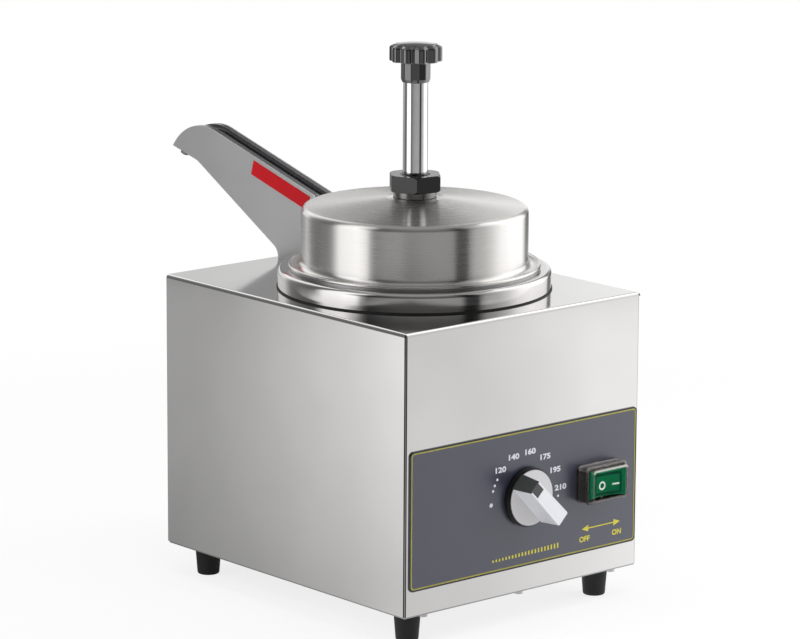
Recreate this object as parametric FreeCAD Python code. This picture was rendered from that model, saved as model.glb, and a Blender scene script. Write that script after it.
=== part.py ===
import FreeCAD, Part
import math
import os

from FreeCAD import Placement, Rotation, Vector

# Hot fudge topping warmer. Millimetres, +X to the right of the control panel, +Y to the back,
# +Z up. The feet stand on Z = 0, and the origin is under the middle of the whole object.

# Case
sheet = 1.2                     # stainless sheet of the case
case_width = 216.0
case_depth = 257.3
case_height = 195.9
case_bend = 2.5                 # outer radius of the folded edges
corner_slit = 1.25              # how far each folded wall stops short of its corner
case_flange = 12.0              # inward flange at the bottom of the walls
bottom_inset = 0.8              # bottom plate stands back from the walls by this
angle_leg = 14.0                # corner angles inside the case
angle_sheet = 1.5
side_room = 26.0                # side of the case to the inside of the well
front_room = 32.8               # front panel to the inside of the well
tower_edge = 3.8                # back of the spout's tower to the back of the case

# Feet and their screws
foot_height = 21.8
foot_top_radius = 9.5
foot_tip_radius = 7.8
foot_inset = 20.5
foot_edge = 1.2
foot_screw_radius = 2.5
foot_recess_radius = 5.0
foot_recess_depth = 9.0
foot_head_radius = 4.4
foot_head_height = 3.0
foot_nut_flats = 8.0
foot_nut_height = 4.0
foot_screw_spare = 1.5          # thread that stands past the nut

# Small screws in the sheet metal
screw_radius = 1.6
screw_head_radius = 3.0
screw_head_height = 2.0
screw_length = 7.0
bottom_screw_side = 20.5        # in from the side of the case to the outer screws
bottom_screw_inset = 4.2        # in from the wall to the screw
rear_screw_margin = 22.0        # from the top and bottom of the rear panel

# Well, collar and what heats the well
well_wall = 1.0
well_floor_height = 26.0        # inside floor above the bottom of the case
well_floor_round = 8.0
well_flange_width = 5.0
collar_width = 13.5             # inside of the well to the outside of the collar
collar_height = 14.1
collar_clearance = 0.2          # inside of the well to the collar's inner edge
collar_shoulder = 3.5
gasket_height = 0.8
gasket_overhang = 0.7
gasket_width = 4.0
deck_hole_clearance = 1.5
stud_radius = 2.0
stud_offset = 8.0               # inside of the well to the middle of the studs
stud_count = 4
stud_nut_flats = 7.0
stud_nut_height = 3.2
stud_spare = 1.5

heater_inset = 20.0             # inside of the well to the edge of the heater
heater_thickness = 6.0
heater_bore_radius = 14.0
clamp_inset = 6.0               # edge of the heater to the edge of the clamp
clamp_thickness = 2.5
clamp_stud_radius = 3.0
clamp_stud_count = 3
clamp_nut_flats = 10.0
clamp_nut_height = 5.0
clamp_stud_spare = 2.0

insulation_gap = 0.3
insulation_thickness = 6.5
insulation_bottom = 42.0        # above the bottom of the case
insulation_drop = 18.9          # top of the insulation below the deck
insulation_window_angle = 22.0  # open sector over the bulb and the cut-out

# Jar that holds the fudge
jar_gap = 4.0                   # outside of the jar to the inside of the well
jar_wall = 1.0
jar_floor_gap = 14.2            # underside of the jar above the floor of the well
jar_round = 16.0
jar_rim_width = 5.4             # inside of the well to the edge of the jar's rim
jar_rim_thickness = 1.2

# Lid
lid_sheet = 1.0
lid_inset = 2.8                 # inside of the well to the outside of the lid's wall
lid_wall_height = 41.6          # seat to the edge of the crown
lid_height = 48.3               # seat to the top
lid_edge_round = 4.5
lid_foot_round = 4.0
lid_flat_radius = 21.0
lid_bead_radius = 1.2
lid_bead_inset = 0.4            # edge of the jar's rim to the middle of the bead

# Pump head, nut and bushing
neck_radius = 12.5
neck_height = 12.5              # above the top of the lid
neck_clearance = 0.3
head_flange_radius = 20.0
head_flange_height = 6.0
head_skirt_radius = 16.8
head_skirt_depth = 12.0
washer_radius = 15.0
washer_height = 4.7
nut_flats = 34.0
nut_height = 11.6
nut_chamfer = 1.4
nut_ring_radius = 11.0
nut_ring_top_radius = 9.9
nut_ring_height = 0.9
nut_turn = 3.9                  # degrees that a corner stands off the photograph's view
bushing_radius = 10.8
bushing_play = 0.05

# Pump cylinder, piston, rod and spring
cylinder_inner_radius = 12.7
cylinder_wall = 1.5
rod_radius = 8.6
rod_wall = 1.5
rod_shown = 80.6                # top of the lid to the lower end of the knob's neck
rod_in_knob = 20.0
stroke = 62.0
piston_radius = 12.2
piston_height = 12.0
piston_groove_height = 4.0
piston_groove_depth = 2.2
seal_play = 0.3
piston_spigot = 14.0
piston_low = 50.0               # underside of the piston above the spring's seat, pressed down
spring_wire_radius = 0.8
spring_coil_radius = 11.1
spring_turns = 10
spring_end_gap = 0.2

# Valve body, its balls, and the discharge tube
valve_radius = 17.0
valve_gap = 9.8                 # foot of the valve body above the underside of the jar
valve_foot = 16.0               # foot of the valve body below the end of the cylinder
valve_socket = 12.0
chamber_radius = 9.6
chamber_height = 4.0
ball_radius = 4.5
ball_seat_radius = 3.2
ball_bore_radius = 5.6
ball_lift = 2.5
ball_play = 0.05
seat_thickness = 3.0
stop_pin_radius = 1.0
stop_pin_cover = 0.6            # valve body left above the pin
riser_offset = 32.0             # pump axis to the riser of the discharge tube
outlet_boss_radius = 8.0
outlet_boss_rise = 12.5         # boss above the end of the cylinder
outlet_arm_width = 14.0
outlet_passage_radius = 2.6
tube_radius = 3.5
tube_wall = 0.7
tube_bend = 20.0
tube_flare_radius = 7.0
tube_flare_height = 1.5
tube_nut_flats = 20.0
tube_nut_height = 10.0
tube_nut_cap = 2.5
tube_play = 0.1
grommet_radius = 5.2
grommet_length = 5.0

# Spout channel on the deck
spout_width = 18.0
spout_sheet = 1.0
spout_gap = 2.5                 # collar to the front edge of the tower
tower_depth = 40.7
spout_knee_rise = 5.7           # above the deck, where the back edge turns into the arm
spout_knee_round = 10.0
spout_crest_reach = 127.0       # from the front edge of the tower to the top of the crest
spout_crest_rise = 84.8         # above the deck
spout_crest_radius = 44.0
spout_slope = 15.6              # degrees, the long top edge
spout_tip_angle = 34.6          # degrees above level, where the crest ends in the tip
spout_tip_slope = 14.4          # degrees, the short edge under the tip
spout_tip_length = 30.0
spout_tip_round = 16.0
spout_corner_round = 3.0
trough_slot = 8.0
trough_sheet = 0.8
trough_depth = 14.0
trough_end_angle = 45.0         # degrees above level, where the trough ends
tube_depth = 6.0                # tube's middle below the top edge of the channel
tube_end_angle = 30.0
spout_floor = 2.0
strip_width = 7.0               # strip heater under the trough
strip_thickness = 2.4
label_height = 11.0
label_length = 66.0
label_start = 5.0               # from the front edge of the tower, along the top edge
label_drop = 2.6                # below the top edge
label_thickness = 0.2
spout_nut_flats = 7.0
spout_nut_height = 3.2

# Control overlay on the front panel
overlay_left_margin = 3.5       # side of the case to the overlay
overlay_right_margin = 2.0
overlay_bottom = 18.0
overlay_top = 115.0
overlay_thickness = 0.8
overlay_round = 3.5

# Thermostat and its knob
dial_x = 1.8
dial_z = 67.4                   # above the bottom of the case
dial_gap = 0.4
skirt_radius = 20.7
skirt_height = 3.4
disc_radius = 19.9
disc_height = 1.7
disc_chamfer = 0.6
grip_nose_width = 10.1          # across the front of the grip, at its nose
grip_tail_width = 11.5
grip_spread = 2.6               # how much wider the grip is where it meets the disc
grip_height = 16.5
grip_tail = 20.2
grip_nose = 18.3
grip_nose_run = 1.4             # how much further out the nose stands where it meets the disc
grip_round = 1.2
pointer_width = 7.7
pointer_length = 8.0
pointer_depth = 1.2
pointer_wall = 1.0
dial_rest_angle = -45.0         # degrees from straight up, clockwise seen from the front
shaft_radius = 3.0
shaft_in_knob = 12.0
shaft_play = 0.05
thermostat_size = 36.0
thermostat_depth = 19.0
thermostat_bush_radius = 5.0
bracket_width = 52.0
bracket_height = 22.0
bracket_sheet = 1.5

# Thermostat bulb, capillary and high limit cut-out
bulb_radius = 3.0
bulb_length = 70.0
bulb_bottom = 78.0              # above the bottom of the case
bulb_gap = 0.3
bulb_angle = 225.0              # degrees round the well, from +X
clip_wall = 1.2
clip_height = 9.0
capillary_radius = 1.0
capillary_bend = 7.0
capillary_drop = 14.0
capillary_standoff = 11.0       # behind the front panel
cutout_radius = 8.0
cutout_height = 7.0
cutout_z = 90.0
cutout_angle = 315.0

# Switch
switch_margin = 40.2            # side of the case to the middle of the switch
switch_z = 68.2
switch_body_width = 28.0
switch_body_height = 20.0
switch_body_depth = 24.0
switch_face = 1.3               # front of the switch body, proud of the panel
blade_width = 6.3
blade_thickness = 0.8
blade_length = 8.0
bezel_width = 36.0
bezel_height = 24.4
bezel_proud = 11.0
bezel_round = 2.0
rocker_width = 32.0
rocker_height = 20.6
rocker_gap = 0.8
rocker_middle = 12.3            # middle of the rocker's face, proud of the panel
rocker_under = 3.0              # middle of its underside
rocker_tilt = 5.0               # degrees either way
rocker_pivot = 5.5
pin_radius = 1.2
pin_play = 0.05
pin_length = 24.0
boot_width = 39.0
boot_height = 26.6
boot_top_width = 34.0
boot_top_height = 23.4
boot_proud = 16.4
boot_wall = 1.0
boot_round = 3.2

# Inner wires
wire_radius = 1.2
wire_bend = 5.0
wire_floor_gap = 4.0            # middle of a wire above the bottom plate
wire_tail = 10.0                # straight length off a terminal
wire_rise = 12.0                # floor run to the gland side of the terminal block
lead_hole_radius = 3.0
heater_lead_angle = 45.0        # degrees round the heater to its second lead, from +X

# Terminal block, earth stud and cord gland at the back
block_side_margin = 40.0        # side of the case to the middle of the terminal block
block_back_margin = 39.5        # back of the case to the middle of the terminal block
block_width = 42.0
block_depth = 18.0
block_height = 15.0
block_poles = 4
block_slot = 6.0
earth_side_margin = 36.0
earth_back_margin = 34.5
earth_radius = 2.5
earth_length = 15.0
earth_nut_flats = 8.0
earth_nut_height = 4.0
gland_margin = 36.0
gland_z = 36.0
gland_flange_radius = 12.0
gland_flange_length = 5.0
gland_dome_radius = 9.5
gland_dome_length = 13.0
gland_thread_radius = 8.0
gland_thread_length = 12.0
gland_bore_radius = 4.2
gland_nut_flats = 22.0
gland_nut_height = 5.0

# Knob on the plunger
knob_neck_radius = 10.4
knob_neck_tip_radius = 9.2
knob_neck_height = 14.6
knob_neck_chamfer = 2.4
knob_neck_sides = 12
knob_radius = 18.3
knob_under_radius = 17.4
knob_under_height = 0.8
knob_rim_height = 10.0
knob_dome_height = 1.8
knob_lobes = 10
knob_flute_radius = 3.4
knob_flute_depth = 2.0
knob_lobe_turn = 12.0           # degrees from the photograph's view to the nearest lobe
photo_azimuth = -41.1           # degrees, the side that the photograph shows

overrun = 5.0                   # how far a cutting tool reaches past what it cuts
tiny = 1e-6


# Places worked out from the sizes

knob_front = overlay_thickness + dial_gap + skirt_height + disc_height + grip_height

# The well takes the smaller of the rooms that the width and the depth of the case leave it.
width_radius = case_width / 2 - side_room
depth_radius = (case_depth - front_room - collar_width - spout_gap - tower_depth - tower_edge) / 2
well_inner_radius = min(width_radius, depth_radius)
well_outer_radius = well_inner_radius + well_wall
well_flange_radius = well_inner_radius + well_flange_width
collar_radius = well_inner_radius + collar_width
collar_inner_radius = well_inner_radius + collar_clearance
stud_circle_radius = well_inner_radius + stud_offset
heater_radius = well_inner_radius - heater_inset
clamp_radius = heater_radius - clamp_inset
clamp_stud_circle = (heater_bore_radius + clamp_radius) / 2
jar_inner_radius = well_inner_radius - jar_gap - jar_wall
jar_rim_radius = well_inner_radius + jar_rim_width
lid_radius = well_inner_radius - lid_inset
lid_bead_circle = jar_rim_radius - lid_bead_inset

front_to_axis = well_inner_radius + front_room
spout_front = collar_radius + spout_gap
crest_reach = spout_front + spout_crest_reach
spout_tip_reach = crest_reach + spout_crest_radius * math.cos(math.radians(spout_tip_angle))
tube_tip_reach = crest_reach + (spout_crest_radius - tube_depth + tube_radius) * math.cos(
    math.radians(tube_end_angle))
front_reach = front_to_axis + knob_front
axis_y = (front_reach - max(spout_tip_reach, tube_tip_reach)) / 2
case_front = axis_y - front_to_axis
case_back = case_front + case_depth
case_side = case_width / 2
case_bottom = foot_height
deck_z = case_bottom + case_height
floor_z = case_bottom + sheet

land_z = deck_z + collar_height
seat_z = land_z + jar_rim_thickness
lid_top = seat_z + lid_height
well_floor = case_bottom + well_floor_height
heater_top = well_floor - well_wall
heater_bottom = heater_top - heater_thickness
jar_floor = well_floor + jar_floor_gap

head_bottom = lid_top - lid_sheet - head_flange_height
cylinder_outer_radius = cylinder_inner_radius + cylinder_wall
valve_bottom = jar_floor + valve_gap
cylinder_end = valve_bottom + valve_foot
chamber_floor = cylinder_end - chamber_height
intake_seat = valve_bottom + seat_thickness
stop_z = cylinder_end - stop_pin_cover - stop_pin_radius
ball_rise = math.sqrt(ball_radius ** 2 - ball_seat_radius ** 2) + ball_play
outlet_boss_top = cylinder_end + outlet_boss_rise
outlet_seat = outlet_boss_top - (ball_rise + ball_radius + ball_lift + ball_play)
riser_y = axis_y + riser_offset
spring_bottom = cylinder_end
piston_bottom = spring_bottom + piston_low + stroke
piston_top = piston_bottom + piston_height
neck_end_z = lid_top + rod_shown
rod_top = neck_end_z + rod_in_knob
knob_head_z = neck_end_z + knob_neck_height

crest_y = axis_y + crest_reach
crest_z = deck_z + spout_crest_rise - spout_crest_radius
tower_front = axis_y + spout_front
tower_back = tower_front + tower_depth
tower_middle = (tower_front + tower_back) / 2
trough_side = trough_slot / 2 + trough_sheet
plate_inside = spout_width / 2 - spout_sheet

overlay_left = case_side - overlay_left_margin
overlay_right = case_side - overlay_right_margin
overlay_face = case_front - overlay_thickness
dial_base = overlay_face - dial_gap
dial_height = case_bottom + dial_z
switch_x = case_side - switch_margin
switch_height = case_bottom + switch_z
panel_inside = case_front + sheet

block_x = case_side - block_side_margin
block_y = case_back - block_back_margin
earth_x = earth_side_margin - case_side
earth_y = case_back - earth_back_margin
gland_x = case_side - gland_margin


# Basic shapes

def box(x0, x1, y0, y1, z0, z1):
    corner = Vector(min(x0, x1), min(y0, y1), min(z0, z1))
    return Part.makeBox(abs(x1 - x0), abs(y1 - y0), abs(z1 - z0), corner)


def rod(radius, start, end):
    """A solid cylinder from one point to another."""
    span = end - start
    return Part.makeCylinder(radius, span.Length, start, span)


def upright(radius, x, y, z0, z1):
    return rod(radius, Vector(x, y, z0), Vector(x, y, z1))


def ring(outer, inner, x, y, z0, z1):
    """An upright tube, open at both ends."""
    return upright(outer, x, y, z0, z1).cut(upright(inner, x, y, z0 - overrun, z1 + overrun))


def prism(sides, flats, x, y, z0, z1, turn=0):
    """An upright prism with regular sides, measured across its flats."""
    reach = flats / 2 / math.cos(math.pi / sides)
    corners = []
    for step in range(sides + 1):
        angle = math.radians(turn) + 2 * math.pi * step / sides
        corners.append(Vector(x + reach * math.cos(angle), y + reach * math.sin(angle), z0))
    return Part.Face(Part.makePolygon(corners)).extrude(Vector(0, 0, z1 - z0))


def joined(shapes):
    """One solid out of shapes that meet."""
    whole = shapes[0]
    for shape in shapes[1:]:
        whole = whole.fuse(shape)
    return whole.removeSplitter()


def without(shape, cutters):
    for cutter in cutters:
        shape = shape.cut(cutter)
    return shape


def turned_about(shape, centre, direction, degrees):
    copy = shape.copy()
    copy.rotate(centre, direction, degrees)
    return copy


def rounded_wire(corners, place):
    """A closed outline whose corners (u, v, radius) are rounded by tangent arcs."""
    count = len(corners)
    starts, ends, middles = [], [], []
    for index in range(count):
        u, v, radius = corners[index]
        here = Vector(u, v, 0)
        back = Vector(corners[index - 1][0], corners[index - 1][1], 0) - here
        ahead = Vector(corners[(index + 1) % count][0], corners[(index + 1) % count][1], 0) - here
        back.normalize()
        ahead.normalize()
        if radius == 0:
            starts.append(here)
            ends.append(here)
            middles.append(None)
            continue
        half = back.getAngle(ahead) / 2
        reach = radius / math.tan(half)
        bisector = back + ahead
        bisector.normalize()
        centre = here + bisector * (radius / math.sin(half))
        starts.append(here + back * reach)
        ends.append(here + ahead * reach)
        middles.append(centre - bisector * radius)
    edges = []
    for index in range(count):
        if middles[index] is not None:
            arc = Part.Arc(place(starts[index]), place(middles[index]), place(ends[index]))
            edges.append(arc.toShape())
        following = (index + 1) % count
        if (starts[following] - ends[index]).Length > tiny:
            line = Part.LineSegment(place(ends[index]), place(starts[following]))
            edges.append(line.toShape())
    return Part.Wire(edges)


def side_solid(corners, x0, x1):
    """A plate cut to an outline of (y, z, radius) corners, from one x to another."""
    wire = rounded_wire(corners, lambda p: Vector(x0, p.x, p.y))
    return Part.Face(wire).extrude(Vector(x1 - x0, 0, 0))


def turned_solid(corners):
    """A solid turned about the pump axis from an outline of (radius, z, round) corners."""
    wire = rounded_wire(corners, lambda p: Vector(p.x, axis_y, p.y))
    return Part.Face(wire).revolve(Vector(0, axis_y, 0), Vector(0, 0, 1), 360)


def panel_plate(left, right, bottom, top, y0, y1, corner):
    """A plate parallel to the front panel, with rounded corners."""
    corners = [(left, bottom, corner), (right, bottom, corner),
               (right, top, corner), (left, top, corner)]
    wire = rounded_wire(corners, lambda p: Vector(p.x, y0, p.y))
    return Part.Face(wire).extrude(Vector(0, y1 - y0, 0))


def round_the_well(shape, degrees):
    """Turns a shape built on the +X side of the well to its own place round it."""
    return turned_about(shape, Vector(0, axis_y, 0), Vector(0, 0, 1), degrees)


def save(name, shapes):
    solids = [solid for shape in shapes for solid in shape.Solids]
    whole = solids[0] if len(solids) == 1 else Part.makeCompound(solids)
    whole.exportStep("parts/" + name + ".step")
    valid = all(solid.isValid() for solid in solids)
    print(name, len(solids), "solids", round(whole.Volume), "mm3", "" if valid else "NOT VALID")


# Case

def bottom_screw_places():
    rows = (case_front + bottom_screw_inset, case_back - bottom_screw_inset)
    side = case_side - bottom_screw_side
    return [(x, y) for y in rows for x in (-side, 0, side)]


def foot_places():
    side = case_side - foot_inset
    return [(x, y) for y in (case_front + foot_inset, case_back - foot_inset) for x in (-side, side)]


def stud_places():
    places = []
    for step in range(stud_count):
        angle = math.radians(360 / stud_count * (step + 1 / 2))
        places.append((stud_circle_radius * math.cos(angle),
                       axis_y + stud_circle_radius * math.sin(angle)))
    return places


def spout_screw_places():
    quarter = (tower_back - tower_front) / 4
    return [(0, tower_front + quarter), (0, tower_back - quarter)]


def outer_case():
    outer = box(-case_side, case_side, case_front, case_back, floor_z, deck_z)
    folds = [edge for edge in outer.Edges if is_top_fold(edge)]
    outer = outer.makeFillet(case_bend, folds)
    inner = box(-case_side + sheet, case_side - sheet, panel_inside, case_back + overrun,
                floor_z + sheet, deck_z - sheet)
    folds = [edge for edge in inner.Edges if is_inner_fold(edge)]
    inner = inner.makeFillet(case_bend - sheet, folds)
    opening = box(-case_side + case_flange, case_side - case_flange, case_front + case_flange,
                  case_back + overrun, floor_z - overrun, floor_z + sheet + overrun)
    cutters = [inner, opening]
    for side in (-1, 1):
        cutters.append(box(side * (case_side - corner_slit), side * (case_side + overrun),
                           case_front - overrun, case_front + corner_slit,
                           floor_z - overrun, deck_z - case_bend))
        cutters.append(box(side * (case_side - sheet), side * (case_side - case_flange - overrun),
                           case_back - sheet, case_back + overrun,
                           floor_z - overrun, floor_z + sheet + overrun))
        notch = case_flange + sheet
        cutters.append(box(side * (case_side - notch), side * (case_side - sheet), panel_inside,
                           case_front + notch, floor_z - overrun, floor_z + sheet + overrun))
    cutters.append(upright(well_outer_radius + deck_hole_clearance, 0, axis_y,
                           deck_z - overrun, deck_z + overrun))
    for x, y in stud_places():
        cutters.append(upright(stud_radius, x, y, deck_z - overrun, deck_z + overrun))
    for x, y in spout_screw_places():
        cutters.append(upright(screw_radius, x, y, deck_z - overrun, deck_z + overrun))
    cutters.append(upright(lead_hole_radius, 0, tower_middle, deck_z - overrun, deck_z + overrun))
    for x, y in bottom_screw_places():
        if y < axis_y:
            cutters.append(upright(screw_radius, x, y, floor_z - overrun, floor_z + overrun))
    cutters.append(rod(thermostat_bush_radius, Vector(dial_x, case_front - overrun, dial_height),
                       Vector(dial_x, case_front + overrun, dial_height)))
    cutters.append(switch_block(case_front - overrun, case_front + overrun))
    return without(outer, cutters)


def is_top_fold(edge):
    box_of = edge.BoundBox
    at_top = box_of.ZMin > deck_z - tiny
    at_back = box_of.YMin > case_back - tiny
    return at_top and not at_back


def is_inner_fold(edge):
    box_of = edge.BoundBox
    at_top = box_of.ZMin > deck_z - sheet - tiny
    at_back = box_of.YMin > case_back + overrun - tiny
    return at_top and not at_back


def rear_panel():
    side = case_side - sheet
    top = deck_z - sheet
    corners = [(-side, floor_z, 0), (side, floor_z, 0), (side, top, case_bend - sheet),
               (-side, top, case_bend - sheet)]
    wire = rounded_wire(corners, lambda p: Vector(p.x, case_back - sheet, p.y))
    plate = Part.Face(wire).extrude(Vector(0, sheet, 0))
    flange = box(-side + case_flange, side - case_flange, case_back - case_flange, case_back,
                 floor_z, floor_z + sheet)
    cutters = []
    for x, y in bottom_screw_places():
        cutters.append(upright(screw_radius, x, y, floor_z - overrun, floor_z + overrun))
    for x, z in rear_screw_places():
        cutters.append(rod(screw_radius, Vector(x, case_back - overrun, z),
                           Vector(x, case_back + overrun, z)))
    cutters.append(rod(gland_thread_radius, Vector(gland_x, case_back - overrun, gland_height()),
                       Vector(gland_x, case_back + overrun, gland_height())))
    return without(joined([plate, flange]), cutters)


def rear_screw_places():
    side = case_side - sheet - angle_leg / 2
    heights = (case_bottom + rear_screw_margin, deck_z - rear_screw_margin)
    return [(x, z) for x in (-side, side) for z in heights]


def gland_height():
    return case_bottom + gland_z


def bottom_plate():
    side = case_side - bottom_inset
    plate = box(-side, side, case_front + bottom_inset, case_back - bottom_inset,
                case_bottom, floor_z)
    cutters = [upright(screw_radius, x, y, case_bottom - overrun, floor_z + overrun)
               for x, y in bottom_screw_places()]
    cutters += [upright(foot_screw_radius, x, y, case_bottom - overrun, floor_z + overrun)
                for x, y in foot_places()]
    cutters.append(upright(earth_radius, earth_x, earth_y,
                           case_bottom - overrun, floor_z + overrun))
    return without(plate, cutters)


def case_screws():
    screws = []
    for x, y in bottom_screw_places():
        head = upright(screw_head_radius, x, y, case_bottom - screw_head_height, case_bottom)
        shank = upright(screw_radius, x, y, case_bottom, case_bottom + screw_length)
        screws.append(joined([head, shank]))
    for x, z in rear_screw_places():
        head = rod(screw_head_radius, Vector(x, case_back, z),
                   Vector(x, case_back + screw_head_height, z))
        shank = rod(screw_radius, Vector(x, case_back - screw_length, z), Vector(x, case_back, z))
        screws.append(joined([head, shank]))
    return screws


def corner_angles():
    low = floor_z + sheet
    high = deck_z - case_bend
    angles = []
    for side in (-1, 1):
        wall = side * (case_side - sheet)
        for face, inward in ((panel_inside, 1), (case_back - sheet, -1)):
            along_side = box(wall, wall - side * angle_sheet, face, face + inward * angle_leg,
                             low, high)
            along_face = box(wall, wall - side * angle_leg, face, face + inward * angle_sheet,
                             low, high)
            angle = joined([along_side, along_face])
            for x, z in rear_screw_places():
                angle = angle.cut(rod(screw_radius, Vector(x, case_back - angle_leg, z),
                                      Vector(x, case_back, z)))
            angles.append(angle)
    return angles


def feet():
    shapes = []
    for x, y in foot_places():
        foot = Part.makeCone(foot_tip_radius, foot_top_radius, foot_height, Vector(x, y, 0))
        foot = foot.makeFillet(foot_edge, [edge for edge in foot.Edges
                                           if edge.BoundBox.ZMax < tiny])
        foot = foot.cut(upright(foot_recess_radius, x, y, -overrun, foot_recess_depth))
        shapes.append(foot.cut(upright(foot_screw_radius, x, y, 0, foot_height + overrun)))
    return shapes


def foot_screws():
    top = floor_z + foot_nut_height + foot_screw_spare
    shapes = []
    for x, y in foot_places():
        head = upright(foot_head_radius, x, y, foot_recess_depth - foot_head_height,
                       foot_recess_depth)
        shank = upright(foot_screw_radius, x, y, foot_recess_depth, top)
        shapes.append(joined([head, shank]))
        nut = prism(6, foot_nut_flats, x, y, floor_z, floor_z + foot_nut_height)
        shapes.append(nut.cut(upright(foot_screw_radius, x, y, floor_z - overrun, top + overrun)))
    return shapes


# Well

def well():
    outer = well_outer_radius
    flange_z = land_z - sheet
    under = flange_z - well_wall
    corners = [(0, well_floor - well_wall, 0),
               (outer, well_floor - well_wall, well_floor_round + well_wall),
               (outer, under, 0), (well_flange_radius, under, 0), (well_flange_radius, flange_z, 0),
               (well_inner_radius, flange_z, 0),
               (well_inner_radius, well_floor, well_floor_round), (0, well_floor, 0)]
    return turned_solid(corners)


def well_collar():
    foot = deck_z + gasket_height
    inside = collar_radius - sheet
    corners = [(collar_inner_radius, land_z - sheet, 0), (inside, land_z - sheet,
                                                          collar_shoulder - sheet),
               (inside, foot, 0), (collar_radius, foot, 0),
               (collar_radius, land_z, collar_shoulder), (collar_inner_radius, land_z, 0)]
    return turned_solid(corners)


def collar_gasket():
    outer = collar_radius + gasket_overhang
    gasket = ring(outer, outer - gasket_width, 0, axis_y, deck_z, deck_z + gasket_height)
    return without(gasket, [upright(stud_radius, x, y, deck_z - overrun, deck_z + overrun)
                            for x, y in stud_places()])


def collar_studs():
    shapes = []
    under = deck_z - sheet
    low = under - stud_nut_height - stud_spare
    for x, y in stud_places():
        stud = upright(stud_radius, x, y, low, land_z - sheet)
        nut = prism(6, stud_nut_flats, x, y, under - stud_nut_height, under)
        shapes += [stud, nut.cut(upright(stud_radius, x, y, low, deck_z))]
    return shapes


def clamp_stud_places():
    places = []
    for step in range(clamp_stud_count):
        angle = 2 * math.pi * step / clamp_stud_count
        places.append((clamp_stud_circle * math.cos(angle),
                       axis_y + clamp_stud_circle * math.sin(angle)))
    return places


def plate_heater():
    disc = ring(heater_radius, heater_bore_radius, 0, axis_y, heater_bottom, heater_top)
    holes = [upright(clamp_stud_radius, x, y, heater_bottom - overrun, heater_top + overrun)
             for x, y in clamp_stud_places()]
    return without(disc, holes)


def heater_clamp():
    low = heater_bottom - clamp_thickness
    plate = ring(clamp_radius, heater_bore_radius, 0, axis_y, low, heater_bottom)
    holes = [upright(clamp_stud_radius, x, y, low - overrun, heater_bottom + overrun)
             for x, y in clamp_stud_places()]
    return without(plate, holes)


def heater_studs():
    under = heater_bottom - clamp_thickness
    low = under - clamp_nut_height - clamp_stud_spare
    shapes = []
    for x, y in clamp_stud_places():
        nut = prism(6, clamp_nut_flats, x, y, under - clamp_nut_height, under)
        shapes.append(upright(clamp_stud_radius, x, y, low, heater_top))
        shapes.append(nut.cut(upright(clamp_stud_radius, x, y, low, under + overrun)))
    return shapes


def well_insulation():
    inner = well_outer_radius + insulation_gap
    low = case_bottom + insulation_bottom
    high = deck_z - insulation_drop
    blanket = ring(inner + insulation_thickness, inner, 0, axis_y, low, high)
    reach = well_outer_radius + insulation_thickness + overrun
    half = reach * math.tan(math.radians(insulation_window_angle / 2))
    window = box(0, reach, axis_y - half, axis_y + half, low - overrun, high + overrun)
    return without(blanket, [round_the_well(window, bulb_angle),
                             round_the_well(window, cutout_angle)])


# Jar and lid

def inset_jar():
    inner = jar_inner_radius
    outer = inner + jar_wall
    floor = jar_floor
    corners = [(0, floor, 0), (outer, floor, jar_round + jar_wall), (outer, land_z, 0),
               (jar_rim_radius, land_z, 0), (jar_rim_radius, seat_z, 0), (inner, seat_z, 0),
               (inner, floor + jar_wall, jar_round), (0, floor + jar_wall, 0)]
    return turned_solid(corners)


def lid_cover():
    edge_z = seat_z + lid_wall_height
    inner = lid_radius - lid_sheet
    flange_edge = lid_bead_circle
    corners = [(flange_edge, seat_z, 0), (flange_edge, seat_z + lid_sheet, 0),
               (lid_radius, seat_z + lid_sheet, lid_foot_round),
               (lid_radius, edge_z, lid_edge_round), (lid_flat_radius, lid_top, 0),
               (0, lid_top, 0), (0, lid_top - lid_sheet, 0),
               (lid_flat_radius, lid_top - lid_sheet, 0),
               (inner, edge_z - lid_sheet, lid_edge_round - lid_sheet),
               (inner, seat_z, lid_foot_round + lid_sheet)]
    shell = turned_solid(corners)
    bead = Part.makeTorus(lid_bead_circle, lid_bead_radius,
                          Vector(0, axis_y, seat_z + lid_bead_radius))
    hole = upright(neck_radius + neck_clearance, 0, axis_y, lid_top - overrun, lid_top + overrun)
    return without(joined([shell, bead]), [hole, tube_hole(grommet_radius)])


def tube_line(depth):
    """Start of the sloping top line, moved down square to itself by a depth."""
    slope = math.radians(spout_slope)
    reach = spout_crest_radius - depth
    tangent = Vector(0, crest_y - reach * math.sin(slope), crest_z + reach * math.cos(slope))
    along = Vector(0, math.cos(slope), math.sin(slope))
    return tangent, along


def line_at(depth, y):
    """The point of that line at a given y."""
    tangent, along = tube_line(depth)
    return tangent + along * ((y - tangent.y) / along.y)


def tube_hole(radius):
    """The hole along the discharge tube through the back wall of the lid."""
    wall = axis_y + lid_radius
    along = tube_line(tube_depth)[1]
    middle = line_at(tube_depth, wall)
    return rod(radius, middle - along * grommet_length, middle + along * grommet_length)


def tube_grommet():
    wall = axis_y + lid_radius - lid_sheet / 2
    along = tube_line(tube_depth)[1]
    middle = line_at(tube_depth, wall)
    half = along * (grommet_length / 2)
    return rod(grommet_radius, middle - half, middle + half).cut(
        rod(tube_radius, middle - half * 2, middle + half * 2))


# Pump

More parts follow.
